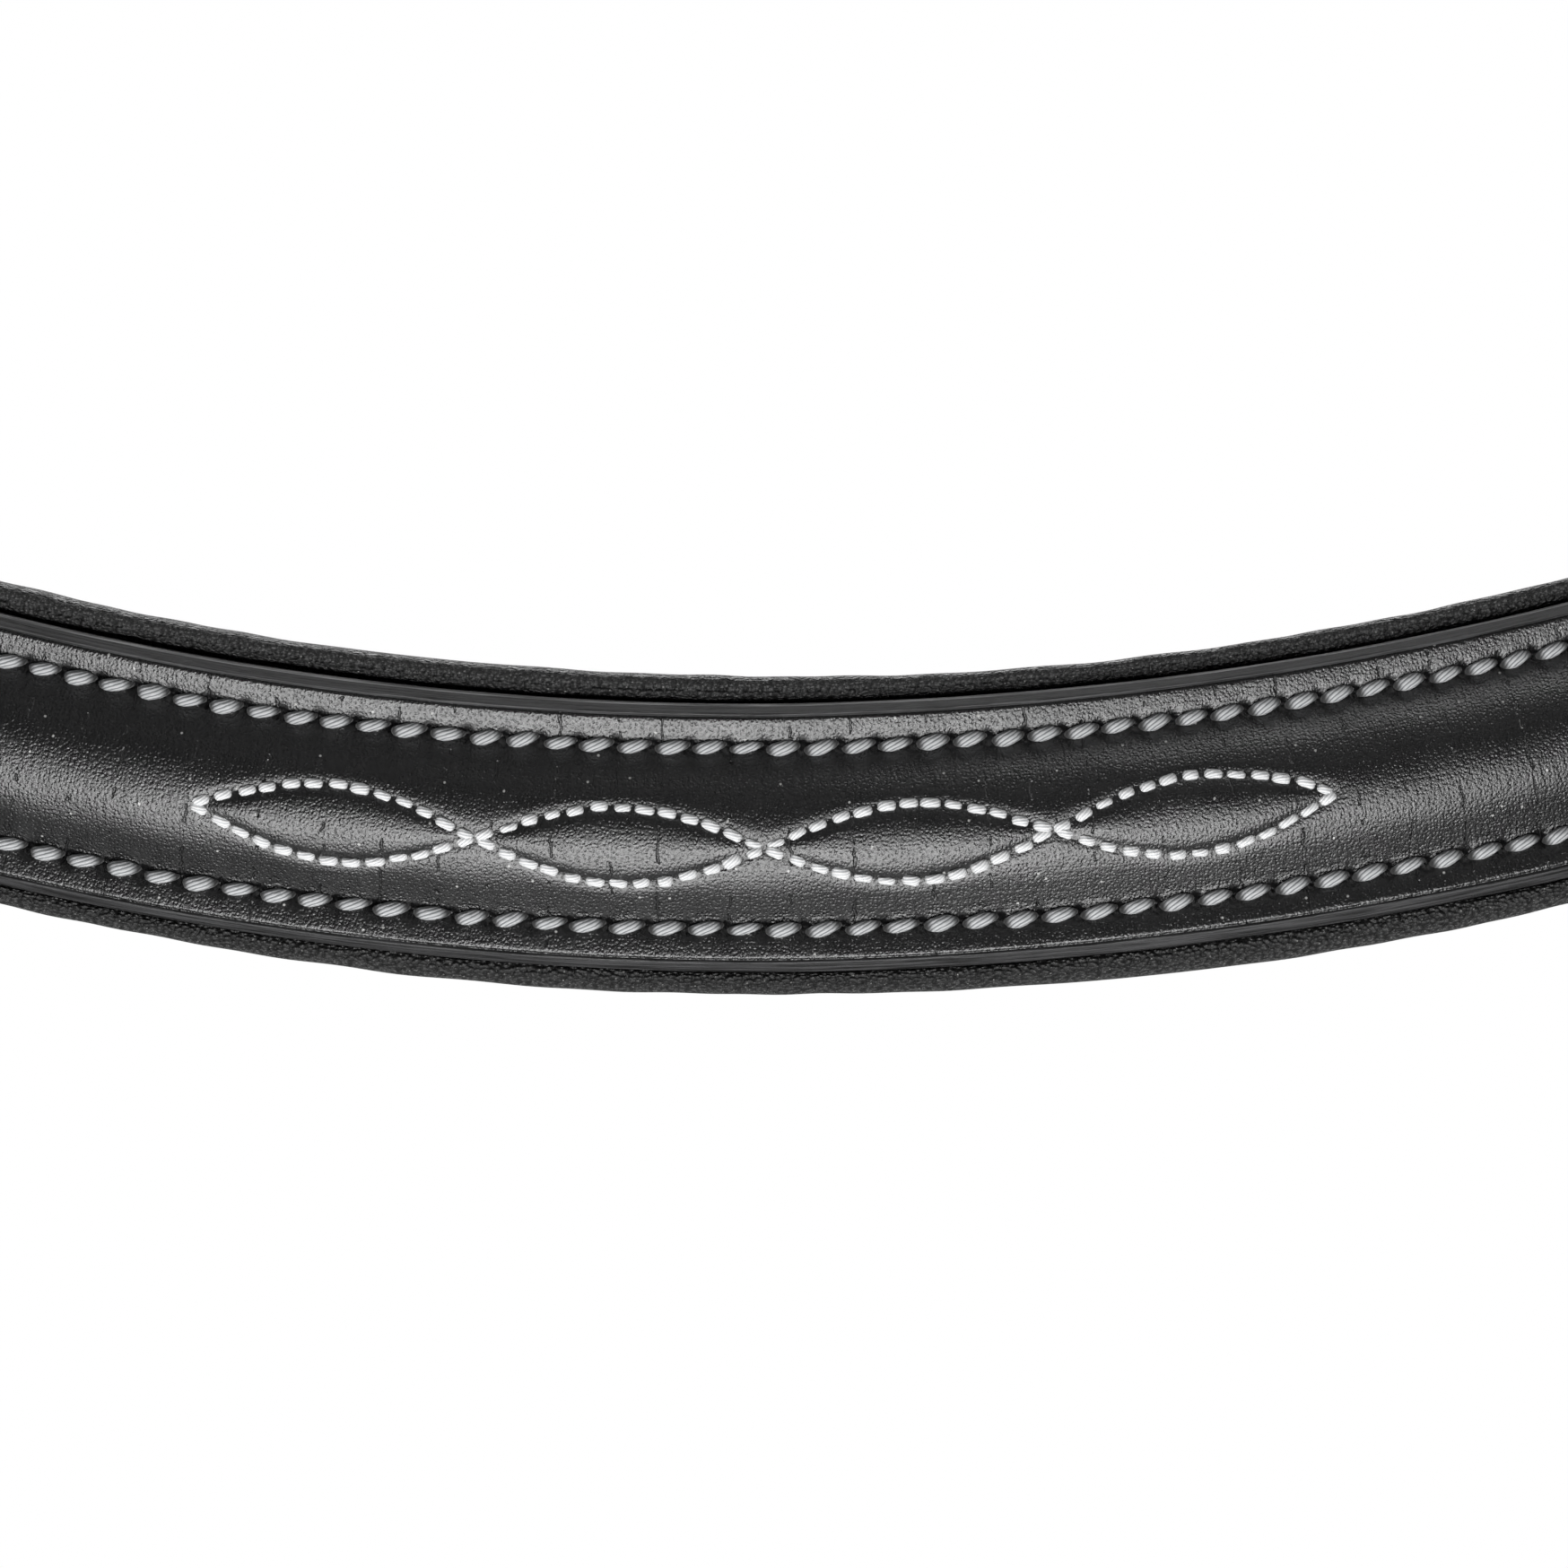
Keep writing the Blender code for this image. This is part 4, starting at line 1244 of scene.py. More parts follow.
@dataclass
class Buckle:
    """A buckle and the strap ends in it; side is +1 where the billet comes from lower s, else -1."""

    name: str
    line: Line
    at: float
    side: int
    width: float
    wire: float = WIRE
    level: float = 0.0
    reach: float = 78.0
    bar: float = field(init=False)
    turn: float = field(init=False)
    outer: float = field(init=False)
    over: float = field(init=False)

    def __post_init__(self) -> None:
        """Works out the levels of the bar, of the strap's outer layer and of the billet over it."""
        self.bar = self.level + BAR_N
        self.turn = self.wire + BAR_SLACK + STRAP_THICK / 2
        self.outer = self.bar + self.turn
        self.over = self.level + BILLET_LIFT

    def s(self, a: float) -> float:
        """Turns a distance from the bar into one along the strap."""
        return self.at - self.side * a

    def points(self, path: Path) -> Path:
        """Turns a path from the bar into one along the strap."""
        return [(self.s(a), *rest) for a, *rest in path]

    def wrapped_end(self) -> Path:
        """Gives the strap's sewn turn-back and its turn round the bar, up to the outer layer.

        Returns:
            The path from the end of the turn-back.
        """
        inner = self.outer - STRAP_THICK - TURNBACK_GAP
        turn = half_ring((0.0, self.bar), self.turn + WRAP_SLACK, *WRAP, WRAP_STEPS)
        return self.points([(a, n, self.width) for a, n in [(-TURNBACK, inner), (WRAP_FROM, inner), *turn]])

    def billet_end(self) -> Path:
        """Gives the billet from above the far bar, over the wrapped bar, to its rounded tip.

        Returns:
            The path, with its tip last.
        """
        rise = [(FAR_BAR_A + 4, self.level), (14.5, self.level), (9.0, self.level + 0.7), (4.5, self.over)]
        path = [(a, n, self.width) for a, n in rise]
        for back, share in BILLET_TIP:
            path.append((back - self.reach, self.over, self.width * share))
        return self.points(path)

    def bar_slot(self) -> list[bpy.types.Object]:
        """Makes the cutter for the slot in the wrapped end, where the tongue turns."""
        span = (self.bar - self.turn - SLOT_REACH, self.outer + STRAP_THICK)
        return [hole_cutter(self.line, self.s(TONGUE_SLOT_AT), span, *TONGUE_SLOT)]

    def billet_holes(self, first: float, count: int, gap: float) -> list[bpy.types.Object]:
        """Makes the cutters for the hole in use, drawn out by wear, and for a row of spare ones.

        Args:
            first: where the first spare one lies, from the bar.
            count: how many there are.
            gap: how far apart they lie.

        Returns:
            The cutters.
        """
        span = (self.over - HOLE_REACH, self.over + HOLE_REACH)
        cutters = [hole_cutter(self.line, self.s(0.0), span, WORN_HOLE_LENGTH, HOLE_WIDTH)]
        for i in range(count):
            cutters.append(hole_cutter(self.line, self.s(first - gap * i), span, HOLE_LENGTH, HOLE_WIDTH))
        return cutters

    def frame(self) -> bpy.types.Object:
        """Makes the square frame, whose far bar stands higher than the wrapped bar and swells a little.

        Returns:
            The frame.
        """
        half = self.width / 2 + FRAME_CLEAR + self.wire
        outline = []
        for a, corner, start in ((2.6, 2.6, -90), (FAR_BAR_A - 4.4, 4.4, 0)):
            for turn in np.linspace(0, 90, 8):
                angle = math.radians(start + turn)
                outline.append((a + corner * math.sin(angle), half - corner + corner * math.cos(angle)))
        loop = np.array(outline + [(a, -w) for a, w in reversed(outline)])
        slope = (FAR_BAR_N - BAR_N) / FAR_BAR_A
        tilt = np.array([1.0, slope]) / math.hypot(1.0, slope)
        tangent = np.roll(loop, -1, axis=0) - np.roll(loop, 1, axis=0)
        tangent /= np.linalg.norm(tangent, axis=1)[:, None]
        rings = []
        for (a, w), (ta, tw) in zip(loop, tangent):
            wire = self.wire * (1.0 + FRAME_SWELL * max(0.0, a / FAR_BAR_A) ** 3)
            ring = []
            for t in np.linspace(0.0, 2 * math.pi, FRAME_SIDES, endpoint=False):
                outward, up = wire * math.cos(t), wire * math.sin(t)
                in_a = a - tw * outward
                ring.append((self.s(in_a - tilt[1] * up), self.bar + slope * in_a + tilt[0] * up,
                             w + ta * outward))
            rings.append(ring)
        return skin(self.name + "_steel_frame", np.array(rings), self.line, looped=True)

    def tongue(self) -> bpy.types.Object:
        """Makes the pin, whose eye turns round the bar and whose tip rests over the far bar.

        Returns:
            The tongue.
        """
        eye = half_ring((0, BAR_N), self.wire + 0.25 + TONGUE_THICK / 2, 330, 155, 14)
        arm = [(0.1, 1.9), (0.75, 3.3), (2.0, 4.5), (4.2, 5.3), (FAR_BAR_A - 1.5, 6.25)]
        path = [(a, n + self.level, TONGUE_WIDTH) for a, n in eye + arm]
        path += [(FAR_BAR_A + 0.6, 6.2 + self.level, 2.2), (FAR_BAR_A + 1.3, 6.1 + self.level, 1.2)]
        rounding = ((0.08, 0.25), (0.3, 0.42), (0.7, 0.5))
        cut = StrapCut(TONGUE_THICK, creased=False, rounding=rounding, full_width=TONGUE_WIDTH)
        return ribbon(self.name + "_steel_tongue", self.points(path), cut, self.line, ease=2)

    def keeper(self, name: str, a: float, turned_back: bool = False, billet: bool = True) -> bpy.types.Object:
        """Makes a leather loop round the strap.

        Args:
            name: the piece's name.
            a: where it lies, from the bar.
            turned_back: whether it also holds the turned-back layer.
            billet: whether it also holds the billet.

        Returns:
            The loop.
        """
        low = self.outer - STRAP_THICK / 2 - GAP - (STRAP_THICK + GAP) * turned_back
        high = (self.over + BILLET_THICK / 2 if billet else self.outer + STRAP_THICK / 2) + GAP
        side = self.width / 2 + KEEPER_CLEAR
        rings = []
        cut = StrapCut(KEEPER_THICK, crease_in=1.3, crease_half=0.2, crease_depth=0.14,
                       rounding=((0.08, 0.25), (0.3, 0.43), (0.7, 0.5)), full_width=4.0)
        outline = cut.section(2 * KEEPER_HALF_LENGTH)
        for quarter, (n, w) in enumerate(((high, side), (high, -side), (low, -side), (low, side))):
            n -= math.copysign(KEEPER_CORNER, n - (low + high) / 2)
            w -= math.copysign(KEEPER_CORNER, w)
            reach = KEEPER_CORNER + KEEPER_THICK / 2 + outline[:, 0]
            for angle in np.radians(90 * quarter + np.linspace(0, 90, 6)):
                rings.append(np.stack([self.s(a) + outline[:, 1], n + math.sin(angle) * reach,
                                       w + math.cos(angle) * reach], axis=1))
        return skin(name, np.array(rings), self.line, looped=True)

    def turnback_stitches(self) -> list[np.ndarray]:
        """Gives the rows that sew the turned-back end down, clear of the fixed keeper.

        Returns:
            Arrays of stitches for sew.
        """
        top = self.outer + STRAP_THICK / 2 - SEWN_IN
        row = self.width / 2 - TURNBACK_ROW_IN
        edges = sorted((self.s(-8.0), self.s(KEEPER_AT + KEEPER_HALF_LENGTH + 1)))
        rest = sorted((self.s(KEEPER_AT - KEEPER_HALF_LENGTH - 1), self.s(1.5 - TURNBACK)))
        runs = [straight_run(*span, top, side * row) for span in (edges, rest) for side in (-1, 1)]
        runs.append(cross_run(self.s(-7.4), top, row - 0.6))
        return runs


@dataclass
class RaisedBand:
    """The padded, raised and stitched front of the browband or noseband."""

    name: str
    line: BandLine
    half: float
    body: str
    store: Store
    pattern_shift: float = -0.6  # the fancy stitching lies a little below the crest's middle
    profile: ArcChain = field(init=False)
    girth: float = field(init=False)
    half_ring_length: float = field(init=False, default=0.0)

    # The facing's profile from its crest's middle, in millimetres: the crest, its flank, the valley that the
    # stitches pull down, the margin that rises outwards, and the bevelled edge.
    CREST_ARC = arc(CREST_RADIUS, -36.0)
    FLANK = 1.82
    VALLEY_ARC = arc(2.0, 46.0)
    MARGIN = 2.6
    SHOULDER_ARC = arc(0.25, -60.0)
    BEVEL = 0.98
    EDGE_ARC = arc(0.6, -40.0)
    CREASE_W = 10.45
    # painted highlight: how far in from the upper edge the lighter strip reaches, in millimetres of girth
    HIGHLIGHT_BAND = 0.62
    UNDERSIDE_N = 1.6
    TAPER = 14.0
    END_SHARE = 0.5
    HOLES_SHORT = 5.0  # how far before the facing's end the edge rows stop, and the core and the padding
    CORE_SHORT = 8.0
    PADDING_SHORT = 3.0
    LINING_PAST = 1.0  # how far the lining goes on past it

    # The relief: how high the leaves puff, and how deep and wide the seams, the rows, the stitch holes and
    # the creases are sunk.
    PUFF = 0.26
    SEAM_SINK, SEAM_WIDTH = 0.22, 0.5
    ROW_SINK, ROW_WIDTH = 0.16, 0.85
    PIT_SINK, PIT_RADIUS = 0.95, 0.42
    CREASE_SINK, CREASE_WIDTH = 0.2, 0.13
    RIPPLE = 0.5

    # How the stitches lie: short of their holes, off their row, and above or below the leather.
    EDGE_INSET, EDGE_SLANT, EDGE_LIFT = 0.16, -0.27, 0.12
    FANCY_INSET, FANCY_SLANT, FANCY_LIFT = 0.15, 0.03, -0.22

    # Where the facing's mesh has its rows, over the profile from the crest's middle.
    CREST_STATIONS = (0.0, 0.5, 0.95, 1.35, 1.75, 2.1, 2.4, 2.7, 2.95, 3.2, 3.45, 3.75, 4.1, 4.5, 4.9, 5.34)
    FLANK_STATIONS = (5.8, 6.3, 6.8, 7.16, 7.5, 7.75, 7.95, 8.12, 8.28, 8.44, 8.6, 8.8, 9.05)
    MARGIN_STATIONS = (9.4, 9.8, 10.2, 10.6, 10.92, 11.08, 11.15, 11.21, 11.27, 11.33, 11.4, 11.48, 11.56,
                       11.64, 11.9, 12.5, 12.7, 12.84, 12.94)

    def __post_init__(self) -> None:
        """Draws the facing's profile from its crest to its edge."""
        arcs = [self.CREST_ARC, (self.FLANK, 0.0), self.VALLEY_ARC, (self.MARGIN, 0.0), self.SHOULDER_ARC,
                (self.BEVEL, 0.0), self.EDGE_ARC]
        self.profile = ArcChain((0.0, CREST_N), arcs)
        self.girth = sum(length for length, _ in arcs)

    def share(self, s: Number, half: float) -> np.ndarray:
        """Gives how much of its width a layer has at s.

        Args:
            s: places along the band.
            half: where the layer ends; it closes in over its last millimetres.

        Returns:
            Its width there, as a share of its width in the middle.
        """
        left = np.clip((half - np.abs(s)) / self.TAPER, 0.0, 1.0)
        return self.END_SHARE + (1 - self.END_SHARE) * np.sqrt(1 - (1 - left) ** 2)

    def base_front(self) -> Path:
        """Gives the path of the base strap as it narrows past the raised part's end.

        Returns:
            The path, outwards.
        """
        places = [self.half - back for back in (self.TAPER, 11.0, 8.0, 5.5, 3.5, 2.0, 1.0)]
        widths = [2 * BASE_HALF * float(self.share(s, self.half)) for s in places]
        return [(s, 0.0, max(width, CHEEK_WIDTH)) for s, width in zip(places, widths)] + [
            (self.half + 2.0, 0.0, CHEEK_WIDTH)]

    def columns(self, half: float, step: float) -> np.ndarray:
        """Gives places along a layer, closer together towards its ends.

        Args:
            half: where the layer ends.
            step: the longest step.

        Returns:
            The places, from the far end to the near one.
        """
        plain = half - self.TAPER
        count = 2 * math.ceil(plain / step)
        tips = plain + self.TAPER * np.sin(np.linspace(0, math.pi / 2, 15)[1:])
        return np.concatenate([-tips[::-1], np.linspace(-plain, plain, count + 1), tips])

    def stitch_columns(self) -> np.ndarray:
        """Gives places along the facing, with more of them round each stitch hole.

        Returns:
            The places, from the far end to the near one.
        """
        near_hole = (-0.5, -0.28, -0.12, 0.0, 0.12, 0.28, 0.5)
        between = (-1.36, -1.08, -0.78, 0.78, 1.08, 1.36)
        offsets = np.array(sorted(near_hole + between)) / 3.0 * EDGE_PITCH  # they are drawn for a pitch of 3
        inner = (self.holes()[:, None] + offsets[None]).ravel()
        outer = self.columns(self.half, 1.2)
        limit = inner.max() + 0.6
        return np.sort(np.concatenate([inner, outer[np.abs(outer) > limit]]))

    def holes(self) -> np.ndarray:
        """Gives where along the band the edge rows' holes lie."""
        count = int((self.half - self.HOLES_SHORT) / EDGE_PITCH)
        return EDGE_PITCH * np.arange(-count, count + 1)

    def wave(self, s: np.ndarray) -> np.ndarray:
        """Gives the fancy stitching's distance from the band's middle; it is 0 past the last leaf."""
        inside = np.abs(s) < PATTERN_HALF
        return np.where(inside, LEAF_HALF_HEIGHT * np.sin(math.pi * s / LEAF_LENGTH), 0.0)

    def relief(self, s: np.ndarray, w: np.ndarray) -> np.ndarray:
        """Works out the puffed leaves, the sunk seams, the stitch holes and the ripples.

        Args:
            s: places along the band.
            w: places across it.

        Returns:
            How far the leather stands above its plain profile there.
        """
        wave = np.abs(self.wave(s))
        on_row = np.abs(w)
        w = w - self.pattern_shift
        reach = np.clip((PATTERN_HALF + 1.0 - np.abs(s)) / 2.0, 0.0, 1.0)
        sunk = np.exp(-((np.abs(w) - wave) / self.SEAM_WIDTH) ** 2) * np.where(wave > 0.02, 1.0, 0.6)
        puff = np.clip(1 - (w / np.maximum(wave, 0.05)) ** 2, 0.0, 1.0) * np.clip(wave / 2.0, 0.0, 1.0)
        height = reach * (self.PUFF * puff - self.SEAM_SINK * sunk)
        off_hole = (s + EDGE_PITCH / 2) % EDGE_PITCH - EDGE_PITCH / 2
        off_row = on_row - STITCH_ROW
        near_ends = np.clip((self.half - 4.5 - np.abs(s)) / 2.0, 0.0, 1.0)
        pit = np.exp(-(off_hole ** 2 + off_row ** 2 * 0.9) / self.PIT_RADIUS ** 2)
        row = np.exp(-(off_row / self.ROW_WIDTH) ** 2) * (1 + 0.3 * np.cos(2 * math.pi * s / EDGE_PITCH))
        crease = np.exp(-((on_row - self.CREASE_W) / self.CREASE_WIDTH) ** 2)
        ripple = 0.05 * np.sin(s / 4.1 + 1.3 * np.sin(s / 11.0)) + 0.04 * np.sin(s / 1.9 + w / 1.3)
        ripple = ripple + 0.03 * np.sin(s / 7.7 - w / 2.1)
        height = height - near_ends * (self.PIT_SINK * pit + self.ROW_SINK * row)
        return height - self.CREASE_SINK * crease + self.RIPPLE * ripple

    def girth_at(self, w: float) -> float:
        """Gives the distance over the profile from the crest's middle out to w."""
        girth = np.linspace(0.0, self.girth, 400)
        return float(np.interp(w, self.profile.at(girth)[0], girth))

    def burnish(self, facing: bpy.types.Object) -> None:
        """Gives the facing's shoulders, outside its creases, the finish of a shaved edge, and paints a
        lighter strip along the top of the upper edge as a painted highlight.

        Args:
            facing: the facing.
        """
        mesh = facing.data
        around = read(mesh.uv_layers[0].uv, "vector", size=2)[1::2]
        starts, counts = (read(mesh.polygons, name, int) for name in ("loop_start", "loop_total"))
        above_crest = np.add.reduceat(around, starts) / counts + self.half_ring_length - self.girth
        off_crest = np.abs(above_crest)
        crease = self.girth_at(self.CREASE_W)
        mesh.materials[0] = self.store.facing_leather
        mesh.materials.append(self.store.edge)
        mesh.materials.append(self.store.painted_highlight_edge)
        shoulders = (off_crest > crease) & (off_crest < self.girth + 1.4)
        # painted highlight: the outermost strip of the upper edge gets the lighter finish; the lower edge
        # keeps the plain one
        wear_and_highlight = (above_crest > self.girth - self.HIGHLIGHT_BAND) & (above_crest < self.girth)
        mesh.polygons.foreach_set("material_index", shoulders.astype(int) + wear_and_highlight)

    def facing(self) -> bpy.types.Object:
        """Makes the raised facing in one skin, from the grain side round to the hollow for its core.

        Returns:
            The facing.
        """
        stations = np.array([*self.CREST_STATIONS, *self.FLANK_STATIONS, *self.MARGIN_STATIONS, self.girth])
        girth = np.concatenate([-stations[:0:-1], stations])
        under_w = np.array([11.5, 9.0, 6.6, 5.4, 3.4, 1.7, 0.0, -1.7, -3.4, -5.4, -6.6, -9.0, -11.5])
        hollow = np.maximum(CREST_N - under_w ** 2 / CORE_SPREAD - FACING_THICK, self.UNDERSIDE_N + 0.05)
        under_n = np.where(np.abs(under_w) < 6, hollow, self.UNDERSIDE_N)
        plain_w, plain_n, _ = self.profile.at(girth)
        around = np.stack([0 * under_w, under_n, under_w], axis=1)
        plain = np.concatenate([np.stack([0 * plain_w, plain_n, plain_w], axis=1), around])
        lengths = np.linalg.norm(np.diff(plain, axis=0, append=plain[:1]), axis=1)
        self.half_ring_length = float(lengths.sum()) / 2
        rings, chart = [], []
        for s in self.stitch_columns():
            share = float(self.share(s, self.half))
            ring = plain + (s, 0.0, 0.0)
            chart.append(ring.copy())
            ring[:len(girth), 1] = plain_n + self.relief(ring[:len(girth), 0], plain_w)
            rings.append(ring * (1.0, 1.0, share))
        return skin(self.name + "_facing_leather", np.array(rings), self.line, chart=np.array(chart))

    def bar(self, name: str, section: np.ndarray, half: float, step: float = 2.0) -> bpy.types.Object:
        """Draws a section along the band.

        Args:
            name: what is added to the band's name.
            section: (w, n) points.
            half: where the layer ends.
            step: the longest step.

        Returns:
            The layer.
        """
        rings = []
        for s in self.columns(half, step):
            w = section[:, 0] * self.share(s, half)
            rings.append(np.stack([np.full(len(w), s), section[:, 1], w], axis=1))
        return skin(self.name + name, np.array(rings), self.line)

    def core(self) -> bpy.types.Object:
        """Makes the felt cord that raises the facing.

        Returns:
            The core.
        """
        top = [(w, 4.55 - w * w / CORE_SPREAD) for w in (5.0, 3.4, 1.7, 0.0, -1.7, -3.4, -5.0)]
        section = np.array(top + [(-5.3, 1.75), (0.0, 1.65), (5.3, 1.75)])
        return self.bar("_core_felt", section, self.half - self.CORE_SHORT)

    def padding(self) -> bpy.types.Object:
        """Makes the foam between the base strap and the lining.

        Returns:
            The foam.
        """
        side = [(0.0, -1.7), (9.4, -1.7), (11.0, -2.6), (10.9, -4.0), (8.8, -5.2), (4.0, -5.5), (0.0, -5.6)]
        section = np.array(side + [(-w, n) for w, n in reversed(side[1:-1])])
        return self.bar("_padding_foam", section, self.half - self.PADDING_SHORT)

    def lining(self) -> bpy.types.Object:
        """Makes the soft skin round the padding, with a rolled rim along each side of the base strap.

        Returns:
            The lining.
        """
        outer = [(0.0, -6.75), (4.0, -6.75), (7.5, -6.65), (10.3, -6.2), (12.3, -4.9), (13.4, -2.9),
                 (13.75, -0.7), (13.6, 1.2)]
        lips = [[(12.75, 2.3), (11.95, 1.95), (11.6, 0.4), (11.4, -1.35)],
                [(12.65, 2.7), (11.55, 2.75), (11.5, 0.8), (11.4, -1.35)]]
        inner = [(10.2, -1.6), (11.4, -3.2), (9.9, -5.3), (5.0, -5.85), (0.0, -5.9)]
        upper, lower = (outer + lip + inner for lip in lips)
        section = np.array(upper + [(-w, n) for w, n in reversed(lower[1:-1])])
        for _ in range(2):
            ahead = np.roll(section, -1, axis=0)
            corners = [section * 0.75 + ahead * 0.25, section * 0.25 + ahead * 0.75]
            section = np.stack(corners, axis=1).reshape(-1, 2)
        half = self.half + self.LINING_PAST
        normal = np.roll(section, -1, axis=0) - np.roll(section, 1, axis=0)
        normal = np.stack([normal[:, 1], -normal[:, 0]], axis=1)
        normal /= np.linalg.norm(normal, axis=1)[:, None]
        rings, chart = [], []
        for s in self.columns(half, 0.9):
            across = section[:, 0]
            chart.append(np.stack([np.full(len(across), s), section[:, 1], across], axis=1))
            swell = 0.035 * np.sin(s / 2.3 + 0.8 * np.sin(s / 5.3) + across / 3.0)
            swell += 0.06 * np.sin(s / 11.0 + across / 5.0) + 0.03 * np.sin(s / 1.25 + 2 * np.sin(s / 9.0))
            moved = section + normal * swell[:, None]
            share = float(self.share(s, half))
            rings.append(np.stack([np.full(len(across), s), moved[:, 1], moved[:, 0] * share], axis=1))
        return skin(self.name + "_rolled_lining", np.array(rings), self.line, chart=np.array(chart))

    def edge_row(self, side: int) -> np.ndarray:
        """Gives one edge row's stitches, which slant with the twist of the thread.

        Args:
            side: 1 for the upper row, -1 for the lower one.

        Returns:
            An array of stitches for sew.
        """
        s = self.holes()
        level = float(self.profile.at(self.girth_at(STITCH_ROW))[1])
        n = level + self.relief(s + EDGE_PITCH / 2, np.full(len(s), STITCH_ROW))
        w = side * STITCH_ROW * self.share(s, self.half)
        out = np.tile((0.0, 1.0, 0.0), (len(s), 1))
        return stitch_run(np.stack([s, n + self.EDGE_LIFT, w], 1), out, self.EDGE_INSET, self.EDGE_SLANT)

    def fancy_run(self, side: int) -> np.ndarray:
        """Gives the stitches of one of the two waves that cross between the leaves.

        Args:
            side: 1 or -1, for the one wave and its mirror image.

        Returns:
            An array of stitches for sew.
        """
        fine = np.linspace(-PATTERN_HALF, PATTERN_HALF, 1601)
        w = side * self.wave(fine)
        length = np.concatenate([[0.0], np.cumsum(np.hypot(np.diff(fine), np.diff(w)))])
        count = LEAVES * round(length[-1] / FANCY_PITCH / LEAVES)  # a hole falls on each crossing
        s = np.interp(np.linspace(0.0, length[-1], count + 1), length, fine)
        w = side * self.wave(s) + self.pattern_shift
        angle = np.arcsin(np.clip(w / CREST_RADIUS, -1, 1))
        n = CREST_N - CREST_RADIUS * (1 - np.cos(angle)) + self.FANCY_LIFT
        holes = np.stack([s, n, w], axis=1)
        out = np.stack([0 * s, np.cos(angle), np.sin(angle)], axis=1)
        return stitch_run(holes, out, self.FANCY_INSET, self.FANCY_SLANT)

    def make(self) -> None:
        """Makes the band's layers and stitches."""
        store, name, body = self.store, self.name, self.body
        self.burnish(store.fit(self.facing(), Slot.LEATHER, body, name + "_facing"))
        store.fit(self.core(), Slot.FELT, body, name + "_core")
        store.fit(self.padding(), Slot.FOAM, body, name + "_padding")
        store.fit(self.lining(), Slot.LINING, body, name + "_lining")
        for row, side in (("upper", 1), ("lower", -1)):
            sewn = sew(f"{name}_{row}_edge_stitches", [self.edge_row(side)], EDGE_THREAD, self.line)
            store.fit(sewn, Slot.THREAD, body, f"{name}_{row}_edge_thread")
        fancy = sew(name + "_fancy_stitches", [self.fancy_run(1), self.fancy_run(-1)], FINE_THREAD, self.line)
        store.fit(fancy, Slot.THREAD, body, name + "_fancy_thread")
        fancy.data.materials[0] = store.fine_thread


@dataclass
class Browband:
    """The raised band across the forehead, whose base strap ends in a sewn loop at each side."""

    store: Store

    def make(self) -> None:
        """Makes the band and its loops."""
        line = BandLine(BROWBAND_PLAN, BROWBAND_FRONT_Y, BROWBAND_Z, BROWBAND_CUT, lean=(4.0, 9.0),
                        lean_reach=114.0)
        band = RaisedBand("browband", line, BROWBAND_RAISED_HALF, "headstall", self.store)
        inner = -2 * LOOP_RADIUS
        sewn = -BASE_THICK - GAP
        turn = half_ring((line.s_at_side(LOOP_REAR_Y), inner / 2), LOOP_RADIUS, 90, -90, 16)
        seam = (line.s_at_side(SEAM_FROM_Y), line.s_at_side(SEAM_TO_Y))
        back = [(line.s_at_side(LOOP_FRONT_Y), inner), (seam[0], sewn), (seam[1], sewn)]
        loop = [(s, n, CHEEK_WIDTH) for s, n in turn + back]
        front = band.base_front()
        path = mirrored(loop) + mirrored(front) + front + loop
        base = ribbon("browband_base_strap", path, StrapCut(BASE_THICK), line)
        self.store.fit(base, Slot.LEATHER, "headstall", "browband_base")
        band.make()
        top = BASE_THICK / 2 - SEWN_IN
        row = CHEEK_WIDTH / 2 - 2.6
        near, far = sorted((seam[0] + 1.0, max(seam[1], band.half + 6.0)))
        runs = [straight_run(side * near, side * far, top, w) for side in (-1, 1) for w in (-row, row)]
        runs += [cross_run(side * (far + 1.2), top, row - 1.0) for side in (-1, 1)]
        stitches = sew("browband_loop_stitches", runs, FINE_THREAD, line)
        self.store.fit(stitches, Slot.THREAD, "headstall")


@dataclass
class Noseband:
    """The raised band over the nose, whose base strap goes on round the jaw to a buckle on the near side."""

    store: Store

    def make(self) -> None:
        """Makes the band, its straps and its buckle."""
        line = BandLine(NOSEBAND_PLAN, NOSEBAND_FRONT_Y, NOSEBAND_Z)
        band = RaisedBand("noseband", line, NOSEBAND_RAISED_HALF, "noseband", self.store)
        buckle = Buckle("noseband_buckle", line, NOSEBAND_BUCKLE_S, -1, CHEEK_WIDTH, reach=62.0)
        straight = buckle.s(-buckle.reach - 2)
        ramp = [(straight, buckle.outer, CHEEK_WIDTH), (straight - 20, 0.0, CHEEK_WIDTH)]
        front = band.base_front()
        billet = [(s - NOSEBAND_ROUND, n, width) for s, n, width in buckle.billet_end()]
        path = buckle.wrapped_end() + ramp + front[::-1] + mirrored(front)[::-1] + billet
        base = ribbon("noseband_base_strap", path, StrapCut(STRAP_THICK), line)
        spare = [hole_cutter(line, buckle.s(a) - NOSEBAND_ROUND, (-HOLE_REACH, HOLE_REACH), HOLE_LENGTH,
                             HOLE_WIDTH) for a in (33.0, 46.0)]
        punch(base, buckle.bar_slot() + buckle.billet_holes(-14.0, 3, 13.0) + spare)
        self.store.fit(base, Slot.LEATHER, "noseband", "noseband_base")
        band.make()
        fit_hardware(self.store, buckle, "noseband", "noseband", "noseband_turnback", runner_at=-46.0)


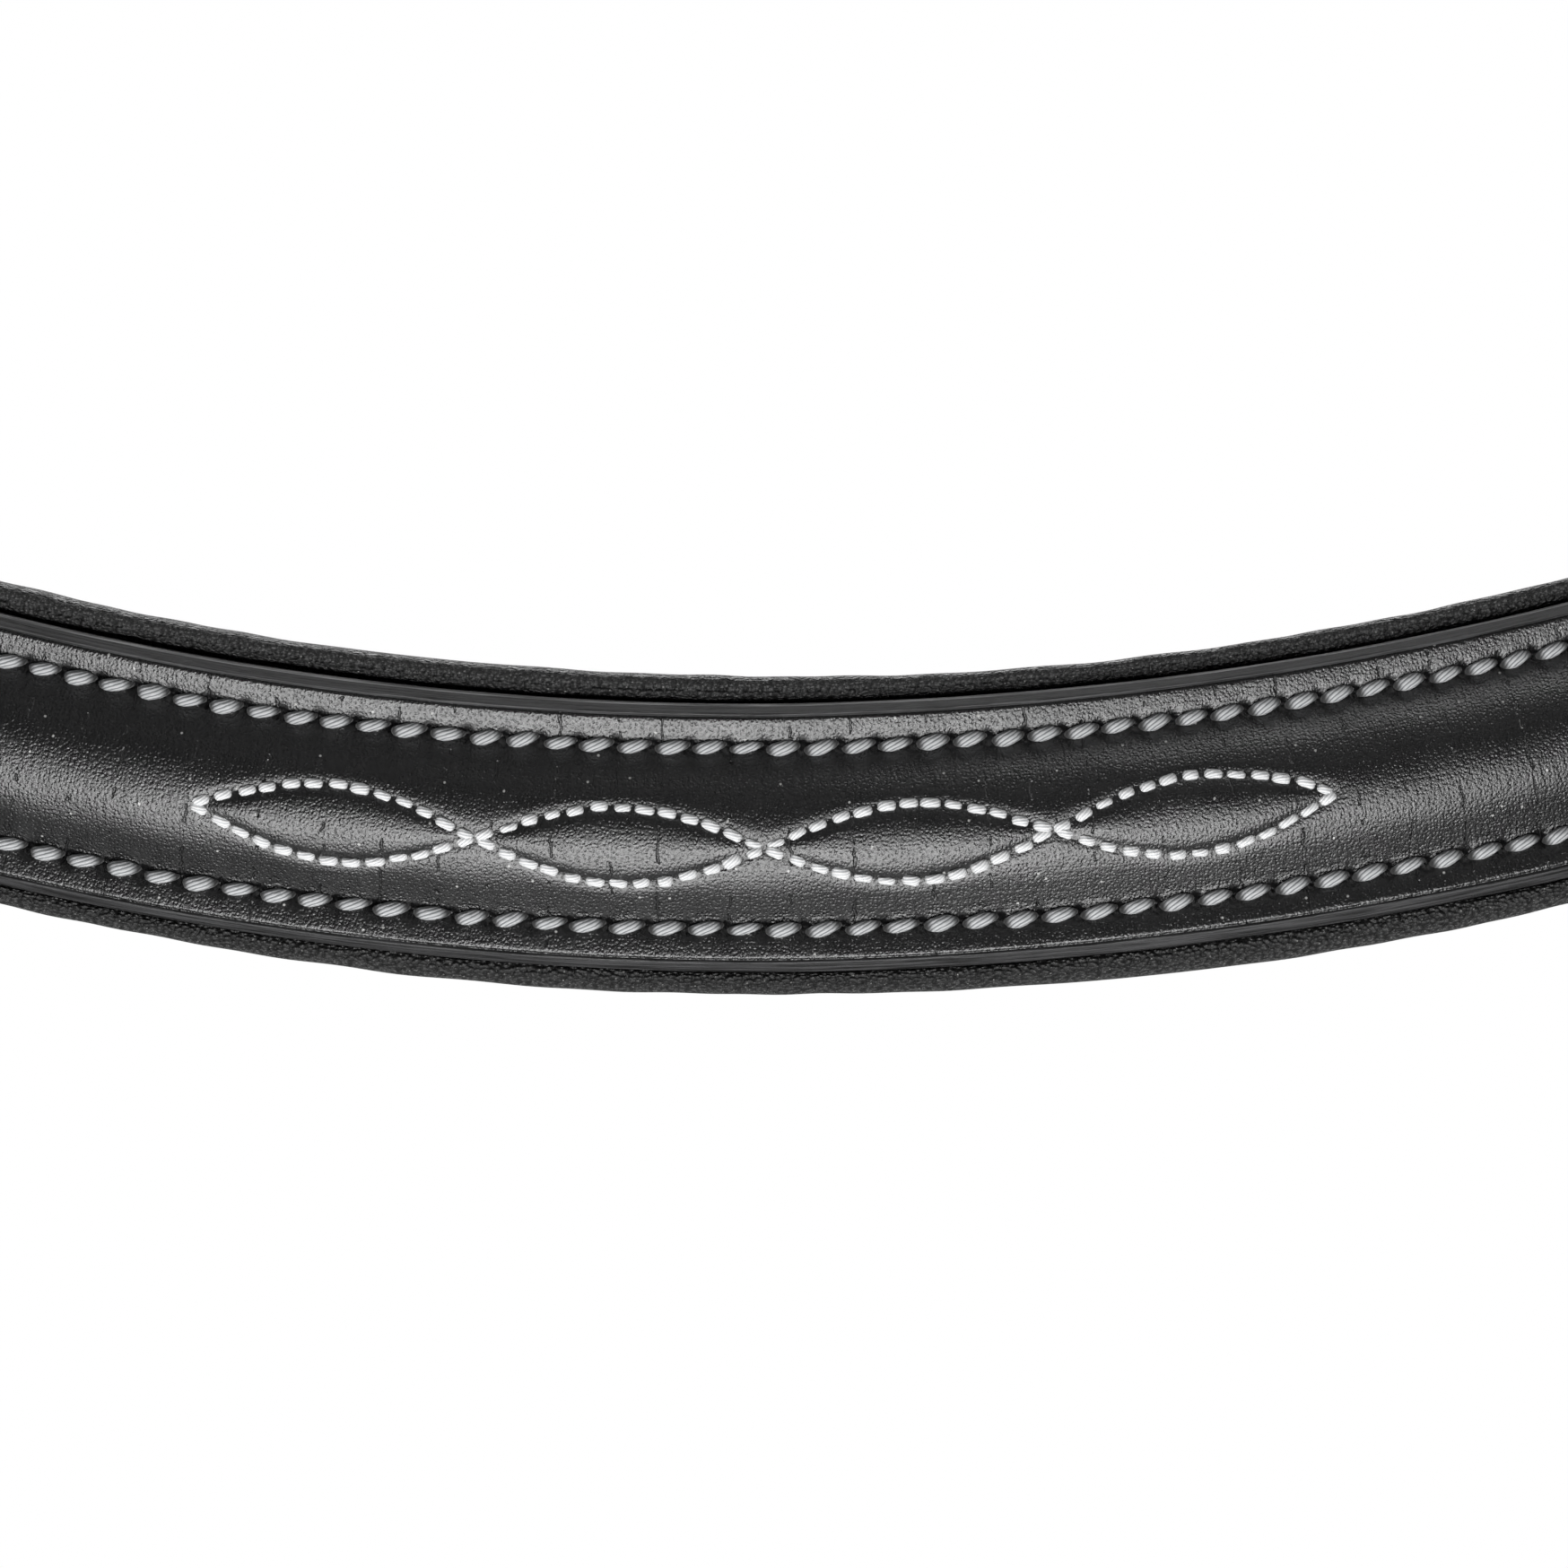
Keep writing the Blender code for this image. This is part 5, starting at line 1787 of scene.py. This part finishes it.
def fit_hardware(store: Store, buckle: Buckle, prefix: str, body: str, sewn: str,
                 runner_at: float = -50.0, side: str = "") -> None:
    """Makes and fits a buckle's frame, tongue, fixed keeper and runner, and the turn-back's stitches.

    Args:
        store: the finishes.
        buckle: the buckle.
        prefix: what the names of the keeper and the runner begin with.
        body: the body that all but the tongue and the runner ride on.
        sewn: what the name of the stitches begins with.
        runner_at: where the runner lies, from the bar.
        side: what the names of the keeper and the runner end with.
    """
    fixed, runner = f"{prefix}_fixed_keeper{side}", f"{prefix}_runner{side}"
    store.fit(buckle.frame(), Slot.STEEL, body, buckle.name + "_frame")
    store.fit(buckle.tongue(), Slot.STEEL, buckle.name + "_tongue", buckle.name + "_tongue")
    store.fit(buckle.keeper(fixed + "_loop", KEEPER_AT, turned_back=True), Slot.LEATHER, body, fixed)
    store.fit(buckle.keeper(runner + "_loop", runner_at), Slot.LEATHER, runner, runner)
    stitches = sew(sewn + "_stitches", buckle.turnback_stitches(), FINE_THREAD, buckle.line)
    store.fit(stitches, Slot.THREAD, body)


@dataclass
class Cheekpiece:
    """A strap from the cheek buckle down to the bit's loop, which turns back up to a stud inside."""

    side: str
    buckle: Buckle
    store: Store

    def make(self) -> None:
        """Makes the strap, its buckle, its keepers and its stud."""
        buckle, side = self.buckle, self.side
        outer, line = buckle.outer, buckle.line
        tail = outer - STRAP_THICK - GAP
        foot = buckle.side * buckle.at - line.s_at(BIT_LOOP_Z)
        loop = [(38, outer), (13, outer + 1.4), (6, outer + 2.6), (1.6, outer + 1.4), (0, outer - 1.0),
                (0, outer - 6.8), (1.6, outer - 9.2), (6, outer - 10.4), (13, outer - 9.0), (27, tail)]
        path = [(foot + a, n, CHEEK_WIDTH) for a, n in loop]
        for a, share in ((58, 1.0), (61.5, 0.96), (64.2, 0.85), (66, 0.64), (66.8, 0.4), (67, 0.16)):
            path.append((foot + a, tail, CHEEK_WIDTH * share))
        path = buckle.wrapped_end() + buckle.points(path)
        strap = ribbon(f"cheekpiece_{side}_strap", path, StrapCut(STRAP_THICK), line)
        stud_s = buckle.s(foot + 47)
        punch(strap, buckle.bar_slot() + [hole_cutter(line, stud_s, (tail - 2, outer - 0.3), 4.2, 4.2)])
        self.store.fit(strap, Slot.LEATHER, "headstall", "cheekpiece_" + side)
        self.store.fit(self.stud(stud_s, tail), Slot.STEEL, "headstall", "cheek_stud_" + side)
        for place, a in (("upper", 57), ("lower", 36)):
            name = f"bit_loop_{place}_keeper_{side}"
            keeper = buckle.keeper(name + "_loop", foot + a, turned_back=True, billet=False)
            self.store.fit(keeper, Slot.LEATHER, "headstall", name)
        fit_hardware(self.store, buckle, "cheek", "headstall", "cheekpiece_" + side, side="_" + side)

    def stud(self, s: float, tail: float) -> bpy.types.Object:
        """Turns the stud, whose head lies inside the tail.

        Args:
            s: where it stands along the strap.
            tail: the level of the tail.

        Returns:
            The stud.
        """
        under = tail - STRAP_THICK / 2 - 0.3
        levels = [(self.buckle.outer - 0.6, 1.0), (self.buckle.outer - 0.6, 1.75), (under + 0.25, 1.75),
                  (under, 2.2), (under - 0.05, 2.85), (under - 0.4, 3.1), (under - 0.9, 2.95),
                  (under - 1.35, 2.3), (under - 1.6, 1.2)]
        angles = np.linspace(0.0, 2 * math.pi, STUD_SIDES, endpoint=False)
        rings = []
        for n, r in levels:
            rings.append(np.stack([s + r * np.cos(angles), n + 0 * angles, r * np.sin(angles)], axis=1))
        return skin(f"cheek_stud_{self.side}_steel", np.array(rings), self.buckle.line)


@dataclass
class Headpiece:
    """The crown strap over the poll, split into a cheek billet and a throat stub at each side, and a pad."""

    store: Store
    buckles: tuple[Buckle, Buckle]

    def make(self) -> None:
        """Makes the crown strap and the pad."""
        self.crown()
        self.pad()

    def lane(self, rows: np.ndarray, columns: int, low_crease: float = 0.0, high_crease: float = 0.0,
             ramp: bool = False) -> bpy.types.Object:
        """Makes a flat lane of leather on the bench, with a crease line inside each edge.

        Args:
            rows: (s, n, low w, high w) along the lane.
            columns: how many faces it has between its creases.
            low_crease: the depth of the crease inside the low edge.
            high_crease: the depth of the crease inside the high edge.
            ramp: whether the high crease only starts where the slit does.

        Returns:
            The open sheet, in millimetres.
        """
        bpy.ops.object.select_all(action="DESELECT")
        across = columns + 2 * (len(LANE_EDGE) - 1)
        bpy.ops.mesh.primitive_grid_add(x_subdivisions=across, y_subdivisions=len(rows) - 1, size=1.0)
        sheet = bpy.context.object
        points, drops = [], []
        for k, (s, n, low, high) in enumerate(rows):
            width = high - low
            scale = min(1.0, width / TIP_FROM)
            near = [inset * scale for inset in LANE_EDGE]
            middle = np.linspace(near[-1], width - near[-1], columns + 1)[1:-1]
            high_drop = high_crease * (min(1.0, k / CREASE_RAMP) if ramp else 1.0)
            for i, w in enumerate([*near, *middle, *(width - inset for inset in reversed(near))]):
                points.append((s, n, low + w))
                drops.append(scale * (low_crease * (i == 2) + high_drop * (i == across - 2)))
        sheet.data.vertices.foreach_set("co", np.array(points).ravel())
        sheet.data.attributes.new("crease", "FLOAT", "POINT").data.foreach_set("value", drops)
        return sheet

    def lanes(self, stub_end: float) -> list[bpy.types.Object]:
        """Makes the lanes of leather that part where the strap is split.

        Args:
            stub_end: where the throat stubs end.

        Returns:
            The lanes over the poll, and then each side's billet and stub.
        """
        poll = np.linspace(-SPLIT_AT, SPLIT_AT, CROWN_ROWS)
        half = CROWN_HALF_WIDTH - (CROWN_HALF_WIDTH - SPLIT_HALF_WIDTH) * np.abs(poll) / SPLIT_AT
        slit = [np.full(CROWN_ROWS, w) for w in (SLIT_LOW, SLIT_HIGH)]
        lanes = []
        for low, high, *rest in ((-half, slit[0], 8, CREASE_DEPTH, 0.0), (*slit, 6, 0.0, 0.0),
                                 (slit[1], half, 6, 0.0, CREASE_DEPTH)):
            lanes.append(self.lane(np.stack([poll, 0 * poll, low, high], 1), *rest))
        for buckle in self.buckles:
            path = refined([(buckle.side * SPLIT_AT, 0.0, CHEEK_WIDTH)] + buckle.billet_end())
            rows = np.stack([path[:, 0], path[:, 1], CHEEK_Y - path[:, 2] / 2, CHEEK_Y + path[:, 2] / 2], 1)
            lanes.append(self.lane(rows, 8, CREASE_DEPTH, CREASE_DEPTH, ramp=True))
            s = buckle.side * np.linspace(SPLIT_AT, stub_end, STUB_ROWS)
            low = np.full(STUB_ROWS, SLIT_HIGH)
            lanes.append(self.lane(np.stack([s, 0 * s, low, low + NARROW_WIDTH], 1), 6, 0.0, CREASE_DEPTH))
        return lanes

    def crown(self) -> None:
        """Makes the crown: its lanes, joined and thickened, with the slits' ends and the edges rounded."""
        line = HangingLine(CHEEK_ARCS, 0.0)
        crown = join(self.lanes(line.s_at(BROWBAND_Z) - STUB_LAP))
        crown.name = crown.data.name = "crown_leather"
        for vertex in crown.data.vertices:
            s, _, w = vertex.co
            off = abs(2 * w - SLIT_LOW - SLIT_HIGH) / (SLIT_HIGH - SLIT_LOW)
            near = (abs(s) - SPLIT_AT + SLIT_TIP) / SLIT_TIP
            if off < 1 and near > 0:
                vertex.co.x -= math.copysign(near * SLIT_PULL * math.sqrt(1 - off * off), s)
        select_only(crown)
        turn_out(merge=0.02)
        modify(crown, "SOLIDIFY", thickness=BILLET_THICK, offset=0.0, use_even_offset=True)
        self.sink_creases(crown)
        modify(crown, "BEVEL", width=0.8, segments=3, limit_method="ANGLE", angle_limit=math.radians(60))
        points = read(crown.data.vertices, "co", size=3).reshape(-1, 3)
        corners = read(crown.data.loops, "vertex_index", int)
        crown.data.uv_layers[0].name = "strap"
        crown.data.uv_layers[0].uv.foreach_set("vector", points[corners][:, (0, 2)].ravel())
        crown.data.vertices.foreach_set("co", line.lay(points).ravel())
        turn_out()
        bpy.ops.object.shade_smooth_by_angle(angle=SMOOTH_ANGLE)
        self.store.fit(crown, Slot.LEATHER, "headstall", "crown_strap")

    def sink_creases(self, crown: bpy.types.Object) -> None:
        """Lowers the grain side, which is one half of the crown's points, along the creases.

        Args:
            crown: the crown, just thickened.
        """
        count = len(crown.data.vertices)
        points = read(crown.data.vertices, "co", size=3)
        drops = read(crown.data.attributes["crease"].data, "value")
        halves = points.reshape(2, -1, 3)
        halves[np.argmax(halves[:, :, 1].mean(axis=1)), :, 1] -= drops[:count // 2]
        crown.data.vertices.foreach_set("co", points)
        crown.data.attributes.remove(crown.data.attributes["crease"])

    def pad(self) -> None:
        """Makes the poll pad, with rolled edges and a channel along its top for the sliphead."""
        line = HangingLine(CHEEK_ARCS, 0.0)
        top = -BILLET_THICK / 2 - GAP
        floor = SLIPHEAD_N - BILLET_THICK / 2 - GAP
        channel = [SLIPHEAD_Y + side * (NARROW_WIDTH / 2 + 0.5) for side in (-1, 1)]
        rings = []
        for s in PAD_HALF_LENGTH * np.sin(np.linspace(-math.pi / 2, math.pi / 2, PAD_ROWS)):
            past = max(0.0, (abs(s) - PAD_HALF_LENGTH + PAD_TAPER) / PAD_TAPER)
            end = math.sqrt(max(0.0, 1 - past ** 2))
            width = PAD_HALF_WIDTH * (0.62 + 0.38 * end)
            deep = PAD_DEEP - (CROWN_LEVEL + PAD_DEEP) * (0.35 + 0.65 * end)
            side = [(width - 5.0, top), (width - 3.2, top - 0.1), (width - 1.6, top + 0.35),
                    (width - 0.3, top - 0.2), (width + 0.2, -3.4), (width - 0.2, -5.4), (width - 1.6, -7.2),
                    (width - 4.2, -8.6), (width - 8.0, deep + 0.35), (width * 0.35, deep)]
            section = [(-w, n) for w, n in reversed(side)]
            section += [(channel[0] - 0.2, top), (channel[0], top - 0.4), (channel[0] + 0.3, floor),
                        (channel[1] - 0.3, floor), (channel[1], top - 0.4), (channel[1] + 0.2, top)]
            section += side
            swell = [0.08 * math.sin(s / 3.1 + w / 4.0) * (1 if n < -5 else 0) for w, n in section]
            rings.append([(s, n + extra, w) for (w, n), extra in zip(section, swell)])
        pad = skin("poll_pad_soft_lining", np.array(rings), line)
        self.store.fit(pad, Slot.LINING, "headstall", "crown_pad")


@dataclass
class Sliphead:
    """The noseband's own headpiece: a long strap from the far side, and a short one to its buckle."""

    store: Store

    def make(self) -> None:
        """Makes both straps, the buckle and its keepers."""
        line = HangingLine(CHEEK_ARCS, SLIPHEAD_Y, SLIPHEAD_FORWARD)
        at = line.s_at(SLIPHEAD_BUCKLE_Z)
        buckle = Buckle("sliphead_buckle", line, at, 1, NARROW_WIDTH, NARROW_WIRE, SLIPHEAD_BUCKLE_N)
        end = line.s_at(NOSEBAND_Z)
        lower = [(end + ds, SLIPHEAD_END_N + SLIPHEAD_END_LEAN * ds, NARROW_WIDTH) for ds in (-12.0, 8.0)]
        upper = [(185.0, SLIPHEAD_N, NARROW_WIDTH), (240.0, SLIPHEAD_BUCKLE_N, NARROW_WIDTH)]
        path = mirrored(upper + lower) + upper + buckle.billet_end()
        long = ribbon("sliphead_long_strap", path, StrapCut(BILLET_THICK), line)
        punch(long, buckle.billet_holes(-14.0, 3, 14.0))
        self.store.fit(long, Slot.LEATHER, "headstall", "sliphead_long")
        straight = [(buckle.s(-buckle.reach - 2), buckle.outer, NARROW_WIDTH)]
        path = buckle.wrapped_end() + straight + lower
        short = ribbon("sliphead_short_strap", path, StrapCut(STRAP_THICK), line)
        punch(short, buckle.bar_slot())
        self.store.fit(short, Slot.LEATHER, "headstall", "sliphead_short")
        fit_hardware(self.store, buckle, "sliphead", "headstall", "sliphead")


@dataclass
class Throatlash:
    """A strap under the throat with a buckle at each end, and the crown's two throat billets."""

    store: Store

    def make(self) -> None:
        """Makes the strap, the billets, the buckles and their keepers."""
        line = HangingLine(THROAT_ARCS, THROAT_Y)
        at = line.s_at(THROAT_BUCKLE_Z)
        sizes = {"width": NARROW_WIDTH, "wire": NARROW_WIRE, "reach": 66.0}
        near = Buckle("throatlash_buckle_near", line, at, 1, **sizes)
        off = Buckle("throatlash_buckle_off", line, THROAT_ROUND - at, -1, **sizes)
        top = at - line.s_at(BROWBAND_Z)
        for side, buckle in (("near", near), ("off", off)):
            rounded = [(top + NARROW_WIDTH / 2 * math.cos(t), 0.0, NARROW_WIDTH * math.sin(t))
                       for t in (0.25, 0.6, 1.0, math.pi / 2)]
            path = buckle.points(rounded) + buckle.billet_end()
            billet = ribbon(f"throat_billet_{side}_strap", path, StrapCut(BILLET_THICK), line)
            punch(billet, buckle.billet_holes(-13.0, 2, 13.0))
            self.store.fit(billet, Slot.LEATHER, "throatlash", "throat_billet_" + side)
        path = near.wrapped_end() + off.wrapped_end()[::-1]
        strap = ribbon("throatlash_long_strap", path, StrapCut(STRAP_THICK), line)
        punch(strap, near.bar_slot() + off.bar_slot())
        self.store.fit(strap, Slot.LEATHER, "throatlash", "throatlash_strap")
        for side, buckle in (("near", near), ("off", off)):
            fit_hardware(self.store, buckle, "throatlash", "throatlash", "throatlash_" + side,
                         runner_at=-44.0, side="_" + side)


@dataclass
class Softbox:
    """A large soft light, aimed at the browband's middle; its angles are in degrees."""

    azimuth: float
    elevation: float
    distance: float
    width: float
    height: float
    radiance: float
    roll: float = 0.0

    def hang(self, target: Vector) -> None:
        """Hangs the light.

        Args:
            target: what it points at.
        """
        azimuth, elevation = math.radians(self.azimuth), math.radians(self.elevation)
        away = Vector((math.sin(azimuth) * math.cos(elevation), -math.cos(azimuth) * math.cos(elevation),
                       math.sin(elevation)))
        data = bpy.data.lights.new("softbox", "AREA")
        data.shape = "RECTANGLE"
        data.size, data.size_y = self.width, self.height
        data.energy = self.radiance * self.width * self.height * math.pi
        light = bpy.data.objects.new("softbox", data)
        light.location = target + away * self.distance
        turn = (-away).to_track_quat("-Z", "Y").to_matrix().to_4x4()
        light.rotation_euler = (turn @ Matrix.Rotation(math.radians(self.roll), 4, "Z")).to_euler()
        bpy.context.scene.collection.objects.link(light)


@dataclass
class Studio:
    """The camera, the soft lights and the white ground.

    Its pixels are the photograph's: the side of the picture, how far across it the pattern's centre lies, and
    how far down it the middle between the stitch rows lies.
    """

    elevation: float = 4.0
    roll: float = 0.22
    distance: float = 1.3
    sensor: float = 36.0
    pixels: float = 1748.0
    pixels_per_mm: float = 13.0
    pattern_centre: float = 853.0
    row_middle: float = 935.0
    band_z: float = -0.1044
    crest_out: float = 0.0035
    lit_z: float = -0.104
    floor_z: float = -0.95
    floor_size: float = 8.0
    facing_range: Range = (-0.1, 0.7)
    dim: Range = (0.06, 0.26)  # the walls' strength as the object sees them, in front and behind

    # Below the band, before it, on the ground, above it, over the poll, at each side, and behind.
    SOFTBOXES = (
        Softbox(-4, -30, 0.75, 0.9, 0.46, 6.6, roll=21.0),
        Softbox(0, 2, 1.2, 0.9, 0.36, 0.35),
        Softbox(0, -76, 0.6, 0.8, 0.22, 0.5),
        Softbox(10, 55, 1.1, 0.9, 0.18, 0.7),
        Softbox(156, 74, 1.1, 0.7, 0.42, 3.3),
        Softbox(105, 20, 1.3, 0.35, 0.9, 2.2),
        Softbox(-105, 20, 1.3, 0.35, 0.9, 2.2),
        Softbox(180, 20, 1.5, 0.9, 0.35, 3.0),
    )

    def build(self) -> None:
        """Sets everything up."""
        self.look()
        for light in self.SOFTBOXES:
            light.hang(Vector((0.0, BROWBAND_FRONT_Y * MM, self.lit_z)))
        self.ground()
        self.surround()

    def look(self) -> None:
        """Sets the camera where the photograph was taken from."""
        data = bpy.data.cameras.new("camera")
        data.sensor_width = self.sensor
        width = self.pixels / self.pixels_per_mm * MM
        data.lens = data.sensor_width * self.distance / width
        camera = bpy.data.objects.new("camera", data)
        elevation = math.radians(self.elevation)
        away = Vector((0.0, -math.cos(elevation), math.sin(elevation)))
        middle = self.pixels / 2
        right = (middle - self.pattern_centre) / self.pixels_per_mm * MM
        up = (self.row_middle - middle) / self.pixels_per_mm * MM
        target = Vector((right, BROWBAND_FRONT_Y * MM - self.crest_out, self.band_z + up))
        camera.location = target + away * self.distance
        turn = (-away).to_track_quat("-Z", "Y").to_matrix().to_4x4()
        roll = Matrix.Rotation(math.radians(self.roll), 4, "Z")
        camera.rotation_euler = (turn @ roll).to_euler()
        bpy.context.scene.collection.objects.link(camera)
        bpy.context.scene.camera = camera

    def ground(self) -> None:
        """Lays the pale floor."""
        bpy.ops.object.select_all(action="DESELECT")
        bpy.ops.mesh.primitive_plane_add(size=self.floor_size, location=(0.0, 0.0, self.floor_z))
        floor = bpy.context.object
        floor.name = "floor"
        floor.data.materials.append(PaleFloor("white_ground").build())
        floor.visible_glossy = False

    def surround(self) -> None:
        """Makes the studio's walls: white to the camera, and dim to the object."""
        scene = bpy.context.scene
        scene.view_settings.view_transform = "Standard"
        world = bpy.data.worlds.new("studio")
        world.use_nodes = True
        scene.world = world
        tree = world.node_tree
        tree.nodes.clear()
        seen = add_node(tree, "LightPath").outputs["Is Camera Ray"]
        ray = add_node(tree, "SeparateXYZ", {}, {"Vector": add_node(tree, "TexCoord").outputs["Generated"]})
        behind = spread(tree, ray.outputs["Y"], self.facing_range, self.dim)
        dim = add_node(tree, "Background", {}, {"Color": linear("#FFFFFF"), "Strength": behind})
        white = add_node(tree, "Background", {}, {"Color": linear("#FFFFFF"), "Strength": 1.0})
        mixed = add_node(tree, "MixShader", {}, {0: seen, 1: dim.outputs[0], 2: white.outputs[0]})
        add_node(tree, "OutputWorld", {}, {"Surface": mixed.outputs[0]})


def main() -> None:
    """Dresses the frame, piece by piece."""
    logging.basicConfig(level=logging.INFO, format="%(name)s: %(message)s")
    store = Store()
    cheek_line = HangingLine(CHEEK_ARCS, CHEEK_Y)
    at = cheek_line.s_at(CHEEK_BUCKLE_Z)
    near = Buckle("cheek_buckle_near", cheek_line, at, 1, CHEEK_WIDTH)
    off = Buckle("cheek_buckle_off", cheek_line, -at, -1, CHEEK_WIDTH)
    Studio().build()
    Browband(store).make()
    Noseband(store).make()
    Headpiece(store, (near, off)).make()
    for side, buckle in (("near", near), ("off", off)):
        Cheekpiece(side, buckle, store).make()
    Sliphead(store).make()
    Throatlash(store).make()


if __name__ == "__main__":
    main()
